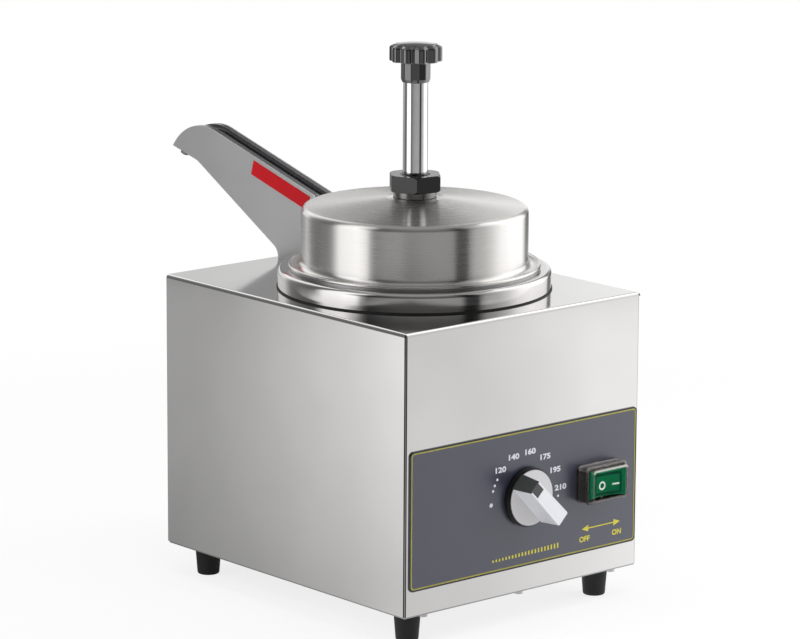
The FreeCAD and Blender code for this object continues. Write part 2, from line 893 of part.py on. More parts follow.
def pump_head():
    under = lid_top - lid_sheet
    skirt_end = head_bottom - head_skirt_depth
    neck_top = lid_top + neck_height
    inner = rod_radius + neck_clearance
    shelf = lid_top - lid_sheet
    corners = [(inner, head_bottom, 0), (cylinder_outer_radius, head_bottom, 0),
               (cylinder_outer_radius, skirt_end, 0), (head_skirt_radius, skirt_end, 0),
               (head_skirt_radius, head_bottom, 0), (head_flange_radius, head_bottom, 0),
               (head_flange_radius, under, 0), (neck_radius, under, 0), (neck_radius, neck_top, 0),
               (bushing_radius, neck_top, 0), (bushing_radius, shelf, 0), (inner, shelf, 0)]
    return turned_solid(corners)


def rod_bushing():
    return ring(bushing_radius, rod_radius + bushing_play, 0, axis_y, lid_top - lid_sheet,
                lid_top + neck_height)


def nut_washer():
    return ring(washer_radius, neck_radius + neck_clearance, 0, axis_y, lid_top,
                lid_top + washer_height)


def lock_nut():
    low = lid_top + washer_height
    high = low + nut_height
    corner = nut_flats / 2 / math.cos(math.pi / 6)
    body = prism(6, nut_flats, 0, axis_y, low, high, photo_azimuth - 90 + nut_turn)
    trim = corner - nut_chamfer
    barrel = turned_solid([(0, low, 0), (trim, low, 0), (corner + tiny, low + nut_chamfer, 0),
                           (corner + tiny, high - nut_chamfer, 0), (trim, high, 0), (0, high, 0)])
    crown = Part.makeCone(nut_ring_radius, nut_ring_top_radius, nut_ring_height,
                          Vector(0, axis_y, high))
    nut = joined([body.common(barrel), crown])
    neck_top = lid_top + neck_height
    return without(nut, [upright(neck_radius, 0, axis_y, low - overrun, neck_top),
                         upright(rod_radius + neck_clearance, 0, axis_y, low,
                                 high + overrun)])


def pump_cylinder():
    return ring(cylinder_outer_radius, cylinder_inner_radius, 0, axis_y, cylinder_end, head_bottom)


def valve_body():
    socket_top = cylinder_end + valve_socket
    body = upright(valve_radius, 0, axis_y, valve_bottom, socket_top)
    boss = upright(outlet_boss_radius, 0, riser_y, valve_bottom, outlet_boss_top)
    half = outlet_arm_width / 2
    arm = box(-half, half, axis_y, riser_y, valve_bottom, cylinder_end)
    passage_z = chamber_floor + outlet_passage_radius - chamber_height / 2
    cutters = [upright(cylinder_outer_radius, 0, axis_y, cylinder_end, socket_top + overrun),
               upright(chamber_radius, 0, axis_y, chamber_floor, socket_top),
               upright(ball_bore_radius, 0, axis_y, intake_seat, cylinder_end),
               upright(ball_seat_radius, 0, axis_y, valve_bottom - overrun, cylinder_end),
               rod(outlet_passage_radius, Vector(0, axis_y, passage_z),
                   Vector(0, riser_y, passage_z)),
               upright(ball_seat_radius, 0, riser_y, passage_z, outlet_boss_top),
               upright(ball_bore_radius, 0, riser_y, outlet_seat, outlet_boss_top + overrun),
               rod(stop_pin_radius, Vector(-valve_radius, axis_y, stop_z),
                   Vector(valve_radius, axis_y, stop_z))]
    return without(joined([body, arm, boss]), cutters)


def stop_pin():
    return rod(stop_pin_radius, Vector(-valve_radius, axis_y, stop_z),
               Vector(valve_radius, axis_y, stop_z))


def ball(y, seat):
    return Part.makeSphere(ball_radius, Vector(0, y, seat + ball_rise))


def tube_nut():
    top = outlet_boss_top + tube_flare_height + tube_nut_cap
    nut = prism(6, tube_nut_flats, 0, riser_y, top - tube_nut_height, top)
    inside = outlet_boss_top + tube_flare_height
    return without(nut, [upright(outlet_boss_radius, 0, riser_y, top - tube_nut_height - overrun,
                                 inside),
                         upright(tube_radius + tube_play, 0, riser_y, inside, top + overrun)])


def tube_route():
    """Straight up beside the cylinder, over into the slope, and round the crest to the tip."""
    slope = math.radians(spout_slope)
    corner = line_at(tube_depth, riser_y)
    reach = tube_bend * math.tan((math.pi / 2 - slope) / 2)
    tangent, along = tube_line(tube_depth)
    low = Vector(0, riser_y, outlet_boss_top)
    bend_start = corner - Vector(0, 0, reach)
    bend_end = corner + along * reach
    centre = bend_start + Vector(0, tube_bend, 0)
    toward = corner - centre
    toward.normalize()
    bend_middle = centre + toward * tube_bend
    radius = spout_crest_radius - tube_depth
    first = math.pi / 2 + slope
    last = math.radians(tube_end_angle)
    crest_middle = on_crest(radius, (first + last) / 2)
    crest_end = on_crest(radius, last)
    return Part.Wire([Part.LineSegment(low, bend_start).toShape(),
                      Part.Arc(bend_start, bend_middle, bend_end).toShape(),
                      Part.LineSegment(bend_end, tangent).toShape(),
                      Part.Arc(tangent, crest_middle, crest_end).toShape()])


def on_crest(radius, angle):
    return Vector(0, crest_y + radius * math.cos(angle), crest_z + radius * math.sin(angle))


def swept(route, radius, start, direction):
    circle = Part.Wire([Part.Circle(start, direction, radius).toShape()])
    return route.makePipeShell([circle], True, False)


def discharge_tube():
    route = tube_route()
    start = Vector(0, riser_y, outlet_boss_top)
    up = Vector(0, 0, 1)
    outer = swept(route, tube_radius, start, up)
    bore = swept(route, tube_radius - tube_wall, start, up)
    flare = upright(tube_flare_radius, 0, riser_y, outlet_boss_top,
                    outlet_boss_top + tube_flare_height)
    return outer.fuse(flare).cut(bore)


# Plunger

def plunger_rod():
    tube = ring(rod_radius, rod_radius - rod_wall, 0, axis_y, piston_top, rod_top)
    return tube


def piston():
    groove_low = piston_bottom + (piston_height - piston_groove_height) / 2
    disc = upright(piston_radius, 0, axis_y, piston_bottom, piston_top)
    groove = ring(piston_radius + overrun, piston_radius - piston_groove_depth, 0, axis_y,
                  groove_low, groove_low + piston_groove_height)
    spigot = upright(rod_radius - rod_wall, 0, axis_y, piston_top, piston_top + piston_spigot)
    return joined([disc.cut(groove), spigot])


def piston_seal():
    low = piston_bottom + (piston_height - piston_groove_height) / 2
    return ring(cylinder_inner_radius - seal_play, piston_radius - piston_groove_depth, 0, axis_y,
                low, low + piston_groove_height)


def helix_arcs(radius, low, high, turns):
    """Two tangent arcs for each half turn of a helix about the pump axis."""
    rise = (high - low) / turns
    slant = math.atan2(rise, 2 * math.pi * radius)
    edges = []
    for step in range(2 * turns):
        ends = []
        for half_turn in (step, step + 1):
            angle = math.pi * half_turn
            point = Vector(radius * math.cos(angle), axis_y + radius * math.sin(angle),
                           low + rise * half_turn / 2)
            heading = Vector(-math.sin(angle) * math.cos(slant), math.cos(angle) * math.cos(slant),
                             math.sin(slant))
            ends.append((point, heading))
        edges += biarc(ends[0][0], ends[0][1], ends[1][0], ends[1][1])
    return Part.Wire(edges)


def biarc(start, start_heading, end, end_heading):
    span = end - start
    both = start_heading + end_heading
    a = 2 * (1 - start_heading.dot(end_heading))
    b = 2 * span.dot(both)
    reach = (-b + math.sqrt(b * b + 4 * a * span.dot(span))) / (2 * a)
    near = start + start_heading * reach
    far = end - end_heading * reach
    joint = (near + far) / 2
    return [tangent_arc(start, near, joint), tangent_arc(joint, far, end)]


def tangent_arc(start, corner, end):
    middle = (start + end) / 2
    half = (middle - start).Length
    reach = (corner - start).Length
    angle = math.acos(half / reach)
    outward = corner - middle
    outward.normalize()
    return Part.Arc(start, middle + outward * (half * math.tan(angle / 2)), end).toShape()


def return_spring():
    low = spring_bottom + spring_wire_radius + spring_end_gap
    high = piston_bottom - spring_wire_radius - spring_end_gap
    route = helix_arcs(spring_coil_radius, low, high, spring_turns)
    start = Vector(spring_coil_radius, axis_y, low)
    rise = (high - low) / spring_turns
    heading = Vector(0, 2 * math.pi * spring_coil_radius, rise)
    return swept(route, spring_wire_radius, start, heading)


def plunger_knob():
    rim_z = knob_head_z + knob_under_height
    top_z = rim_z + knob_rim_height
    neck = turned_solid([(0, neck_end_z, 0), (knob_neck_tip_radius, neck_end_z, 0),
                         (knob_neck_radius, neck_end_z + knob_neck_chamfer, 0),
                         (knob_neck_radius, knob_head_z, 0), (0, knob_head_z, 0)])
    facets = prism(knob_neck_sides, 2 * knob_neck_radius * math.cos(math.pi / knob_neck_sides / 2),
                   0, axis_y, neck_end_z, knob_head_z, photo_azimuth)
    head = turned_solid([(0, knob_head_z, 0), (knob_under_radius, knob_head_z, 0),
                         (knob_radius, rim_z, 0), (knob_radius, top_z, 0), (0, top_z, 0)])
    dome_radius = (knob_radius ** 2 + knob_dome_height ** 2) / (2 * knob_dome_height)
    dome = Part.makeSphere(dome_radius,
                           Vector(0, axis_y, top_z + knob_dome_height - dome_radius))
    cap = upright(knob_radius, 0, axis_y, top_z, top_z + knob_dome_height).common(dome)
    knob = joined([head, cap])
    flute_circle = knob_radius + knob_flute_radius - knob_flute_depth
    for step in range(knob_lobes):
        turn = photo_azimuth - 90 + knob_lobe_turn + 360 / knob_lobes * (step + 1 / 2)
        angle = math.radians(turn)
        knob = knob.cut(upright(knob_flute_radius, flute_circle * math.cos(angle),
                                axis_y + flute_circle * math.sin(angle),
                                knob_head_z - overrun, top_z + overrun))
    whole = joined([neck.common(facets), knob])
    return whole.cut(upright(rod_radius, 0, axis_y, neck_end_z - overrun, rod_top))


# Spout channel

def spout_points():
    """Corners of the side plates, front of the tower first, as (y, z, radius)."""
    slope = math.radians(spout_slope)
    tip = math.radians(spout_tip_angle)
    under = math.radians(spout_tip_slope)
    front_top = line_at(0, tower_front)
    turn = math.pi / 2 + slope - tip
    shoulder_reach = spout_crest_radius / math.cos(turn / 2)
    shoulder = on_crest(shoulder_reach, tip + turn / 2)
    tip_point = on_crest(spout_crest_radius, tip)
    bend = tip_point - Vector(0, math.cos(under), math.sin(under)) * spout_tip_length
    knee_z = deck_z + spout_knee_rise
    return [(tower_front, deck_z, 0), (tower_front, front_top.z, spout_corner_round),
            (shoulder.y, shoulder.z, spout_crest_radius), (tip_point.y, tip_point.z, 0),
            (bend.y, bend.z, spout_tip_round), (tower_back, knee_z, spout_knee_round),
            (tower_back, deck_z, 0)]


def inset_line(first, second, inset):
    """A line between two (y, z) points, moved to its left by an inset."""
    along = Vector(second[0] - first[0], second[1] - first[1], 0)
    along.normalize()
    left = Vector(-along.y, along.x, 0) * inset
    return Vector(first[0], first[1], 0) + left, along


def crossing(first, second):
    """Where two lines, each a point and a direction, meet."""
    gap = second[0] - first[0]
    turn = first[1].x * second[1].y - first[1].y * second[1].x
    reach = (gap.x * second[1].y - gap.y * second[1].x) / turn
    return first[0] + first[1] * reach


def spout_housing():
    corners = spout_points()
    half = spout_width / 2
    outer = side_solid(corners, -half, half)
    tip, bend, knee, foot = corners[-4:]
    high = deck_z + spout_crest_rise + overrun
    under_tip = inset_line(tip, bend, -spout_sheet)
    under_arm = inset_line(bend, knee, -spout_sheet)
    tower_wall = inset_line(knee, foot, -spout_sheet)
    inner_bend = crossing(under_tip, under_arm)
    inner_knee = crossing(under_arm, tower_wall)
    far = under_tip[0] - under_tip[1] * overrun
    hollow = side_solid([(tower_front + spout_sheet, deck_z + spout_floor, 0),
                         (tower_front + spout_sheet, high, 0), (far.x, high, 0),
                         (far.x, far.y, 0), (inner_bend.x, inner_bend.y,
                                             spout_tip_round + spout_sheet),
                         (inner_knee.x, inner_knee.y, spout_knee_round - spout_sheet),
                         (tower_back - spout_sheet, deck_z + spout_floor, 0)],
                        -plate_inside, plate_inside)
    trough_end = on_crest(spout_crest_radius - trough_depth, math.radians(trough_end_angle)).y
    mouth = box(-plate_inside, plate_inside, trough_end - 2 * spout_sheet,
                crest_y + spout_crest_radius + overrun, crest_z, high)
    entry_z = line_at(trough_depth, tower_front).z
    entry = box(-plate_inside, plate_inside, tower_front - overrun, tower_front + 2 * spout_sheet,
                entry_z, high)
    holes = [upright(screw_radius, x, y, deck_z - overrun, deck_z + spout_floor + overrun)
             for x, y in spout_screw_places()]
    holes.append(upright(lead_hole_radius, 0, tower_middle, deck_z - overrun,
                         deck_z + spout_floor + overrun))
    return without(outer, [hollow, mouth, entry] + holes)


def band(near, far, end_angle, x0, x1):
    """A strip between two depths below the top edge, from the tower's front round the crest."""
    slope = math.radians(spout_slope)
    first = math.pi / 2 + slope
    last = math.radians(end_angle)
    middle = (first + last) / 2
    front = tower_front + spout_sheet
    edges = []
    upper_radius = spout_crest_radius - near
    lower_radius = spout_crest_radius - far
    upper_start = line_at(near, front)
    lower_start = line_at(far, front)
    upper_tangent = on_crest(upper_radius, first)
    lower_tangent = on_crest(lower_radius, first)
    edges.append(Part.LineSegment(upper_start, upper_tangent).toShape())
    edges.append(Part.Arc(upper_tangent, on_crest(upper_radius, middle),
                          on_crest(upper_radius, last)).toShape())
    edges.append(Part.LineSegment(on_crest(upper_radius, last),
                                  on_crest(lower_radius, last)).toShape())
    edges.append(Part.Arc(on_crest(lower_radius, last), on_crest(lower_radius, middle),
                          lower_tangent).toShape())
    edges.append(Part.LineSegment(lower_tangent, lower_start).toShape())
    edges.append(Part.LineSegment(lower_start, upper_start).toShape())
    face = Part.Face(Part.Wire(edges))
    face.translate(Vector(x0, 0, 0))
    return face.extrude(Vector(x1 - x0, 0, 0))


def spout_trough():
    inner = trough_slot / 2
    walls = [band(0, trough_depth, trough_end_angle, side * inner, side * trough_side)
             for side in (-1, 1)]
    floor = band(trough_depth - trough_sheet, trough_depth, trough_end_angle,
                 -trough_side, trough_side)
    flanges = [band(0, trough_sheet, trough_end_angle, side * trough_side, side * plate_inside)
               for side in (-1, 1)]
    return joined(walls + [floor] + flanges)


def spout_heater():
    half = strip_width / 2
    strip = band(trough_depth, trough_depth + strip_thickness, 90, -half, half)
    return strip


def spout_label():
    along = tube_line(label_drop)[1]
    start = line_at(label_drop, tower_front) + along * label_start
    down = Vector(0, along.z, -along.y)
    corners = [start, start + along * label_length, start + along * label_length
               + down * label_height, start + down * label_height, start]
    face = Part.Face(Part.makePolygon(corners))
    face.translate(Vector(-spout_width / 2, 0, 0))
    return face.extrude(Vector(-label_thickness, 0, 0))


def spout_screws():
    shapes = []
    under = deck_z - sheet
    low = under - spout_nut_height
    for x, y in spout_screw_places():
        stud = upright(screw_radius, x, y, low - stud_spare, deck_z + spout_floor)
        nut = prism(6, spout_nut_flats, x, y, low, under)
        shapes += [stud, nut.cut(upright(screw_radius, x, y, low - overrun, deck_z))]
    return shapes


# Controls

def switch_block(y0, y1):
    half_width = switch_body_width / 2
    half_height = switch_body_height / 2
    return box(switch_x - half_width, switch_x + half_width, y0, y1,
               switch_height - half_height, switch_height + half_height)


def control_overlay():
    plate = panel_plate(-overlay_left, overlay_right, case_bottom + overlay_bottom,
                        case_bottom + overlay_top, overlay_face, case_front, overlay_round)
    hole = rod(thermostat_bush_radius, Vector(dial_x, overlay_face - overrun, dial_height),
               Vector(dial_x, case_front + overrun, dial_height))
    return without(plate, [hole, switch_block(overlay_face - overrun, case_front + overrun)])


def dial_turned(shape):
    return turned_about(shape, Vector(dial_x, 0, dial_height), Vector(0, 1, 0), dial_rest_angle)


def dial_rod(radius, y0, y1):
    return rod(radius, Vector(dial_x, y0, dial_height), Vector(dial_x, y1, dial_height))


def dial_skirt():
    front = dial_base - skirt_height
    return dial_rod(skirt_radius, front, dial_base).cut(
        dial_rod(shaft_radius + shaft_play, front - overrun, dial_base + overrun))


def dial_disc():
    back = dial_base - skirt_height
    front = back - disc_height
    disc = dial_rod(disc_radius, front, back)
    rim = [edge for edge in disc.Edges if edge.BoundBox.YMax < front + tiny]
    disc = disc.makeChamfer(disc_chamfer, rim)
    return disc.cut(dial_rod(shaft_radius + shaft_play, front - overrun, back + overrun))


def grip_outline(y, spread, run):
    nose_half = (grip_nose_width + spread) / 2
    tail_half = (grip_tail_width + spread) / 2
    nose = dial_height + grip_nose + run
    tail = dial_height - grip_tail
    corners = [Vector(dial_x - tail_half, y, tail), Vector(dial_x + tail_half, y, tail),
               Vector(dial_x + nose_half, y, nose), Vector(dial_x - nose_half, y, nose)]
    return Part.makePolygon(corners + corners[:1])


def dial_bar():
    """The grip before it is turned to its mark, its nose straight up."""
    back = dial_base - skirt_height - disc_height
    base = grip_outline(back, grip_spread, grip_nose_run)
    face = grip_outline(back - grip_height, 0, 0)
    return Part.makeLoft([base, face], True, True)


def pointer_shape():
    """The black inlay, a strip on the front of the grip and the whole end of its nose."""
    back = dial_base - skirt_height - disc_height
    front = back - grip_height
    half = pointer_width / 2
    nose = dial_height + grip_nose
    top = box(dial_x - half, dial_x + half, front, front + pointer_depth,
              nose - pointer_length, nose)
    reach = (grip_nose_width + grip_spread) / 2 + overrun
    foot = nose + grip_nose_run
    wall = side_solid([(front, nose - pointer_wall, 0), (back, foot - pointer_wall, 0),
                       (back, foot + overrun, 0), (front, nose + overrun, 0)],
                      dial_x - reach, dial_x + reach)
    return joined([top, wall.common(dial_bar())])


def is_grip_corner(edge, tail):
    """The two corners of the tail that run out from the disc."""
    box_of = edge.BoundBox
    return box_of.ZMax < tail + tiny and box_of.YLength > grip_height / 2


def dial_grip():
    bar = dial_bar()
    tail = dial_height - grip_tail
    rounded = [edge for edge in bar.Edges if is_grip_corner(edge, tail)]
    bar = bar.makeFillet(grip_round, rounded)
    front = dial_base - skirt_height - disc_height
    socket = dial_rod(shaft_radius + shaft_play, front - shaft_in_knob, front + overrun)
    return dial_turned(without(bar, [pointer_shape(), socket]))


def dial_pointer():
    return dial_turned(pointer_shape())


def dial_shaft():
    tip = dial_base - skirt_height - disc_height - shaft_in_knob
    return dial_rod(shaft_radius, tip, panel_inside + bracket_sheet - dial_gap)


def thermostat_body():
    half = thermostat_size / 2
    front = panel_inside + bracket_sheet
    body = box(dial_x - half, dial_x + half, front, front + thermostat_depth,
               dial_height - half, dial_height + half)
    bush = dial_rod(thermostat_bush_radius, case_front, front)
    core = dial_rod(shaft_radius + shaft_play, case_front - overrun, front)
    return without(joined([body, bush]), [core])


def thermostat_bracket():
    half_width = bracket_width / 2
    half_height = bracket_height / 2
    plate = box(dial_x - half_width, dial_x + half_width, panel_inside,
                panel_inside + bracket_sheet, dial_height - half_height, dial_height + half_height)
    return plate.cut(dial_rod(thermostat_bush_radius, panel_inside - overrun,
                              panel_inside + overrun))


def thermostat_bulb():
    low = case_bottom + bulb_bottom
    radius = well_outer_radius + bulb_gap + bulb_radius
    return round_the_well(upright(bulb_radius, radius, axis_y, low, low + bulb_length), bulb_angle)


def bulb_clip():
    radius = well_outer_radius + bulb_gap + bulb_radius
    middle = case_bottom + bulb_bottom + bulb_length / 2
    low = middle - clip_height / 2
    strap = ring(bulb_radius + clip_wall, bulb_radius, radius, axis_y, low, low + clip_height)
    strap = strap.cut(upright(well_outer_radius, 0, axis_y, low - overrun,
                              low + clip_height + overrun))
    return round_the_well(strap, bulb_angle)


def capillary_tube():
    angle = math.radians(bulb_angle)
    radius = well_outer_radius + bulb_gap + bulb_radius
    bulb = Vector(radius * math.cos(angle), axis_y + radius * math.sin(angle),
                  case_bottom + bulb_bottom)
    run_z = bulb.z - capillary_drop
    run_y = panel_inside + capillary_standoff
    start = Vector(dial_x - thermostat_size / 2, run_y, run_z)
    corners = [start, Vector(bulb.x, run_y, run_z), Vector(bulb.x, bulb.y, run_z), bulb]
    route = bent_route(corners, capillary_bend)
    return swept(route, capillary_radius, start, Vector(-1, 0, 0))


def bent_route(corners, bend):
    """Straight runs joined by tangent arcs of one radius."""
    edges = []
    last = corners[0]
    for index in range(1, len(corners) - 1):
        here = corners[index]
        back = corners[index - 1] - here
        ahead = corners[index + 1] - here
        back.normalize()
        ahead.normalize()
        half = back.getAngle(ahead) / 2
        reach = bend / math.tan(half)
        middle_way = back + ahead
        middle_way.normalize()
        middle = here + middle_way * (bend / math.sin(half) - bend)
        edges.append(Part.LineSegment(last, here + back * reach).toShape())
        edges.append(Part.Arc(here + back * reach, middle, here + ahead * reach).toShape())
        last = here + ahead * reach
    edges.append(Part.LineSegment(last, corners[-1]).toShape())
    return Part.Wire(edges)


def high_limit():
    middle = case_bottom + cutout_z
    start = Vector(well_inner_radius, axis_y, middle)
    end = Vector(well_outer_radius + cutout_height, axis_y, middle)
    disc = rod(cutout_radius, start, end)
    disc = disc.cut(upright(well_outer_radius, 0, axis_y, middle - cutout_radius - overrun,
                            middle + cutout_radius + overrun))
    return round_the_well(disc, cutout_angle)


# Switch

def proud(distance):
    """The y of a plane that stands out from the front panel."""
    return case_front - distance


def framed(width, height, y0, y1, corner):
    return panel_plate(switch_x - width / 2, switch_x + width / 2, switch_height - height / 2,
                       switch_height + height / 2, y0, y1, corner)


def switch_bezel():
    outer = framed(bezel_width, bezel_height, proud(bezel_proud), overlay_face, bezel_round)
    opening = switch_x_box(rocker_width / 2 + rocker_gap, rocker_height / 2 + rocker_gap,
                           proud(bezel_proud + overrun), overlay_face + overrun)
    pin = rod(pin_radius, Vector(switch_x, proud(rocker_pivot), switch_height - pin_length / 2),
              Vector(switch_x, proud(rocker_pivot), switch_height + pin_length / 2))
    return without(outer, [opening, pin])


def switch_x_box(half_width, half_height, y0, y1):
    return box(switch_x - half_width, switch_x + half_width, y0, y1,
               switch_height - half_height, switch_height + half_height)


def blade_place(column, row):
    return (switch_x + column * switch_body_width / 4,
            switch_height + row * switch_body_height / 4)


def switch_body():
    back = panel_inside + switch_body_depth
    body = switch_block(proud(switch_face), back)
    blades = []
    for column in (-1, 1):
        for row in (-1, 1):
            x, z = blade_place(column, row)
            blades.append(box(x - blade_thickness / 2, x + blade_thickness / 2, back,
                              back + blade_length, z - blade_width / 2, z + blade_width / 2))
    return joined([body] + blades)


def rocker():
    half = rocker_width / 2
    rise = half * math.tan(math.radians(rocker_tilt))
    face = [Vector(switch_x - half, proud(rocker_middle + rise), 0),
            Vector(switch_x, proud(rocker_middle), 0),
            Vector(switch_x + half, proud(rocker_middle + rise), 0),
            Vector(switch_x + half, proud(rocker_under + rise), 0),
            Vector(switch_x, proud(rocker_under), 0),
            Vector(switch_x - half, proud(rocker_under + rise), 0)]
    low = switch_height - rocker_height / 2
    outline = Part.Face(Part.makePolygon(face + face[:1]))
    outline.translate(Vector(0, 0, low))
    body = outline.extrude(Vector(0, 0, rocker_height))
    pin = rod(pin_radius + pin_play, Vector(switch_x, proud(rocker_pivot), low - overrun),
              Vector(switch_x, proud(rocker_pivot), low + rocker_height + overrun))
    return turned_about(body.cut(pin), Vector(switch_x, proud(rocker_pivot), 0),
                        Vector(0, 0, 1), -rocker_tilt)


def rocker_pin():
    low = switch_height - pin_length / 2
    return rod(pin_radius, Vector(switch_x, proud(rocker_pivot), low),
               Vector(switch_x, proud(rocker_pivot), low + pin_length))


def boot_wire(width, height, y, corner):
    left = switch_x - width / 2
    right = switch_x + width / 2
    low = switch_height - height / 2
    high = switch_height + height / 2
    corners = [(left, low, corner), (right, low, corner), (right, high, corner),
               (left, high, corner)]
    return rounded_wire(corners, lambda p: Vector(p.x, y, p.y))


def boot_form(inset, top_y):
    base_y = overlay_face
    waist_y = proud(bezel_proud)
    corner = boot_round - inset
    base = boot_wire(boot_width - 2 * inset, boot_height - 2 * inset, base_y, corner)
    waist = boot_wire(boot_width - 2 * inset, boot_height - 2 * inset, waist_y, corner)
    top = boot_wire(boot_top_width - 2 * inset, boot_top_height - 2 * inset, top_y, corner)
    lower = Part.makeLoft([base, waist], True, True)
    upper = Part.makeLoft([waist, top], True, True)
    return joined([lower, upper])


def switch_boot():
    outer = boot_form(0, proud(boot_proud))
    inner = boot_form(boot_wall, proud(boot_proud - boot_wall))
    return outer.cut(inner)


# Inner wires

def wire(corners):
    start = corners[0]
    heading = corners[1] - start
    return swept(bent_route(corners, wire_bend), wire_radius, start, heading)


def inner_wires():
    floor = floor_z + wire_floor_gap
    blade_end = panel_inside + switch_body_depth + blade_length
    turn_y = blade_end + wire_tail
    block_front = block_y - block_depth / 2
    block_left = block_x - block_width / 2
    heater_edge = (heater_radius + clamp_radius) / 2
    wires = []
    for column in (-1, 1):
        x, z = blade_place(column, -1)
        wires.append(wire([Vector(x, block_front, floor), Vector(x, turn_y, floor),
                           Vector(x, turn_y, z), Vector(x, blade_end, z)]))
    x, z = blade_place(1, 1)
    behind_panel = panel_inside + thermostat_depth - wire_bend
    behind_switch = blade_end + wire_bend + wire_radius
    thermostat_bottom = dial_height - thermostat_size / 2
    right = x + 2 * wire_bend + wire_radius
    low = floor + 2 * wire_bend
    thermostat_x = dial_x + thermostat_size / 4
    wires.append(wire([Vector(x, blade_end, z), Vector(x, behind_switch, z),
                       Vector(right, behind_switch, z), Vector(right, behind_switch, low),
                       Vector(thermostat_x, behind_switch, low),
                       Vector(thermostat_x, behind_panel, low),
                       Vector(thermostat_x, behind_panel, thermostat_bottom)]))
    heater_front = axis_y - heater_edge
    wires.append(wire([Vector(dial_x, behind_panel, thermostat_bottom),
                       Vector(dial_x, behind_panel, floor), Vector(dial_x, heater_front, floor),
                       Vector(dial_x, heater_front, heater_bottom)]))
    pole_x = block_left + block_width / block_poles / 2
    lead_angle = math.radians(heater_lead_angle)
    lead_x = heater_edge * math.cos(lead_angle)
    lead_y = axis_y + heater_edge * math.sin(lead_angle)
    wires.append(wire([Vector(pole_x, block_front, floor),
                       Vector(pole_x, block_front - wire_tail, floor),
                       Vector(lead_x, lead_y, floor), Vector(lead_x, lead_y, heater_bottom)]))
    strip = line_at(trough_depth + strip_thickness, tower_middle)
    strip.z -= wire_radius * math.tan(math.radians(spout_slope))
    slot_x = block_x + block_width / block_poles / 2
    slot_floor = floor_z + block_height / 2
    over_block = floor_z + block_height + 2 * wire_bend
    wires.append(wire([strip, Vector(0, tower_middle, over_block),
                       Vector(slot_x, block_y, over_block),
                       Vector(slot_x, block_y, slot_floor)]))
    earth_side = earth_x + earth_nut_flats / 2 / math.cos(math.pi / 6)
    earth_z = floor_z + earth_nut_height / 2
    wires.append(wire([Vector(earth_side, earth_y, earth_z),
                       Vector(earth_side + wire_tail, earth_y, earth_z),
                       Vector(-wire_tail, block_y - wire_rise, earth_z),
                       Vector(block_left - wire_tail, block_y, earth_z),
                       Vector(block_left, block_y, earth_z)]))
    return wires


# Back of the case

def terminal_block():
    left = block_x - block_width / 2
    front = block_y - block_depth / 2
    base = box(left, left + block_width, front, front + block_depth, floor_z,
               floor_z + block_height)
    pitch = block_width / block_poles
    slots = []
    for pole in range(block_poles):
        middle = left + pitch * (pole + 1 / 2)
        slots.append(box(middle - block_slot / 2, middle + block_slot / 2, front - overrun,
                         front + block_depth + overrun, floor_z + block_height / 2,
                         floor_z + block_height + overrun))
    return without(base, slots)


def earth_stud():
    x = earth_x
    y = earth_y
    head = upright(earth_nut_flats / 2, x, y, case_bottom - screw_head_height, case_bottom)
    stud = upright(earth_radius, x, y, case_bottom, floor_z + earth_length)
    nut = prism(6, earth_nut_flats, x, y, floor_z, floor_z + earth_nut_height)
    return [joined([head, stud]), nut.cut(upright(earth_radius, x, y, floor_z - overrun,
                                                  floor_z + earth_length))]


def gland_rod(radius, y0, y1):
    return rod(radius, Vector(gland_x, y0, gland_height()), Vector(gland_x, y1, gland_height()))


def cord_gland():
    flange = gland_rod(gland_flange_radius, case_back, case_back + gland_flange_length)
    dome_end = case_back + gland_flange_length + gland_dome_length
    dome = gland_rod(gland_dome_radius, case_back, dome_end)
    tip = [edge for edge in dome.Edges if edge.BoundBox.YMin > dome_end - tiny]
    dome = dome.makeFillet(gland_dome_radius - gland_bore_radius - sheet, tip)
    inner_end = case_back - sheet - gland_thread_length
    thread = gland_rod(gland_thread_radius, inner_end, case_back)
    return joined([flange, dome, thread]).cut(
        gland_rod(gland_bore_radius, inner_end - overrun, dome_end + overrun))


def gland_nut():
    back = case_back - sheet
    nut = prism(6, gland_nut_flats, 0, 0, 0, gland_nut_height)
    nut = turned_about(nut, Vector(0, 0, 0), Vector(1, 0, 0), 90)
    nut.translate(Vector(gland_x, back, gland_height()))
    return nut.cut(gland_rod(gland_thread_radius, back - gland_nut_height - overrun,
                             back + overrun))


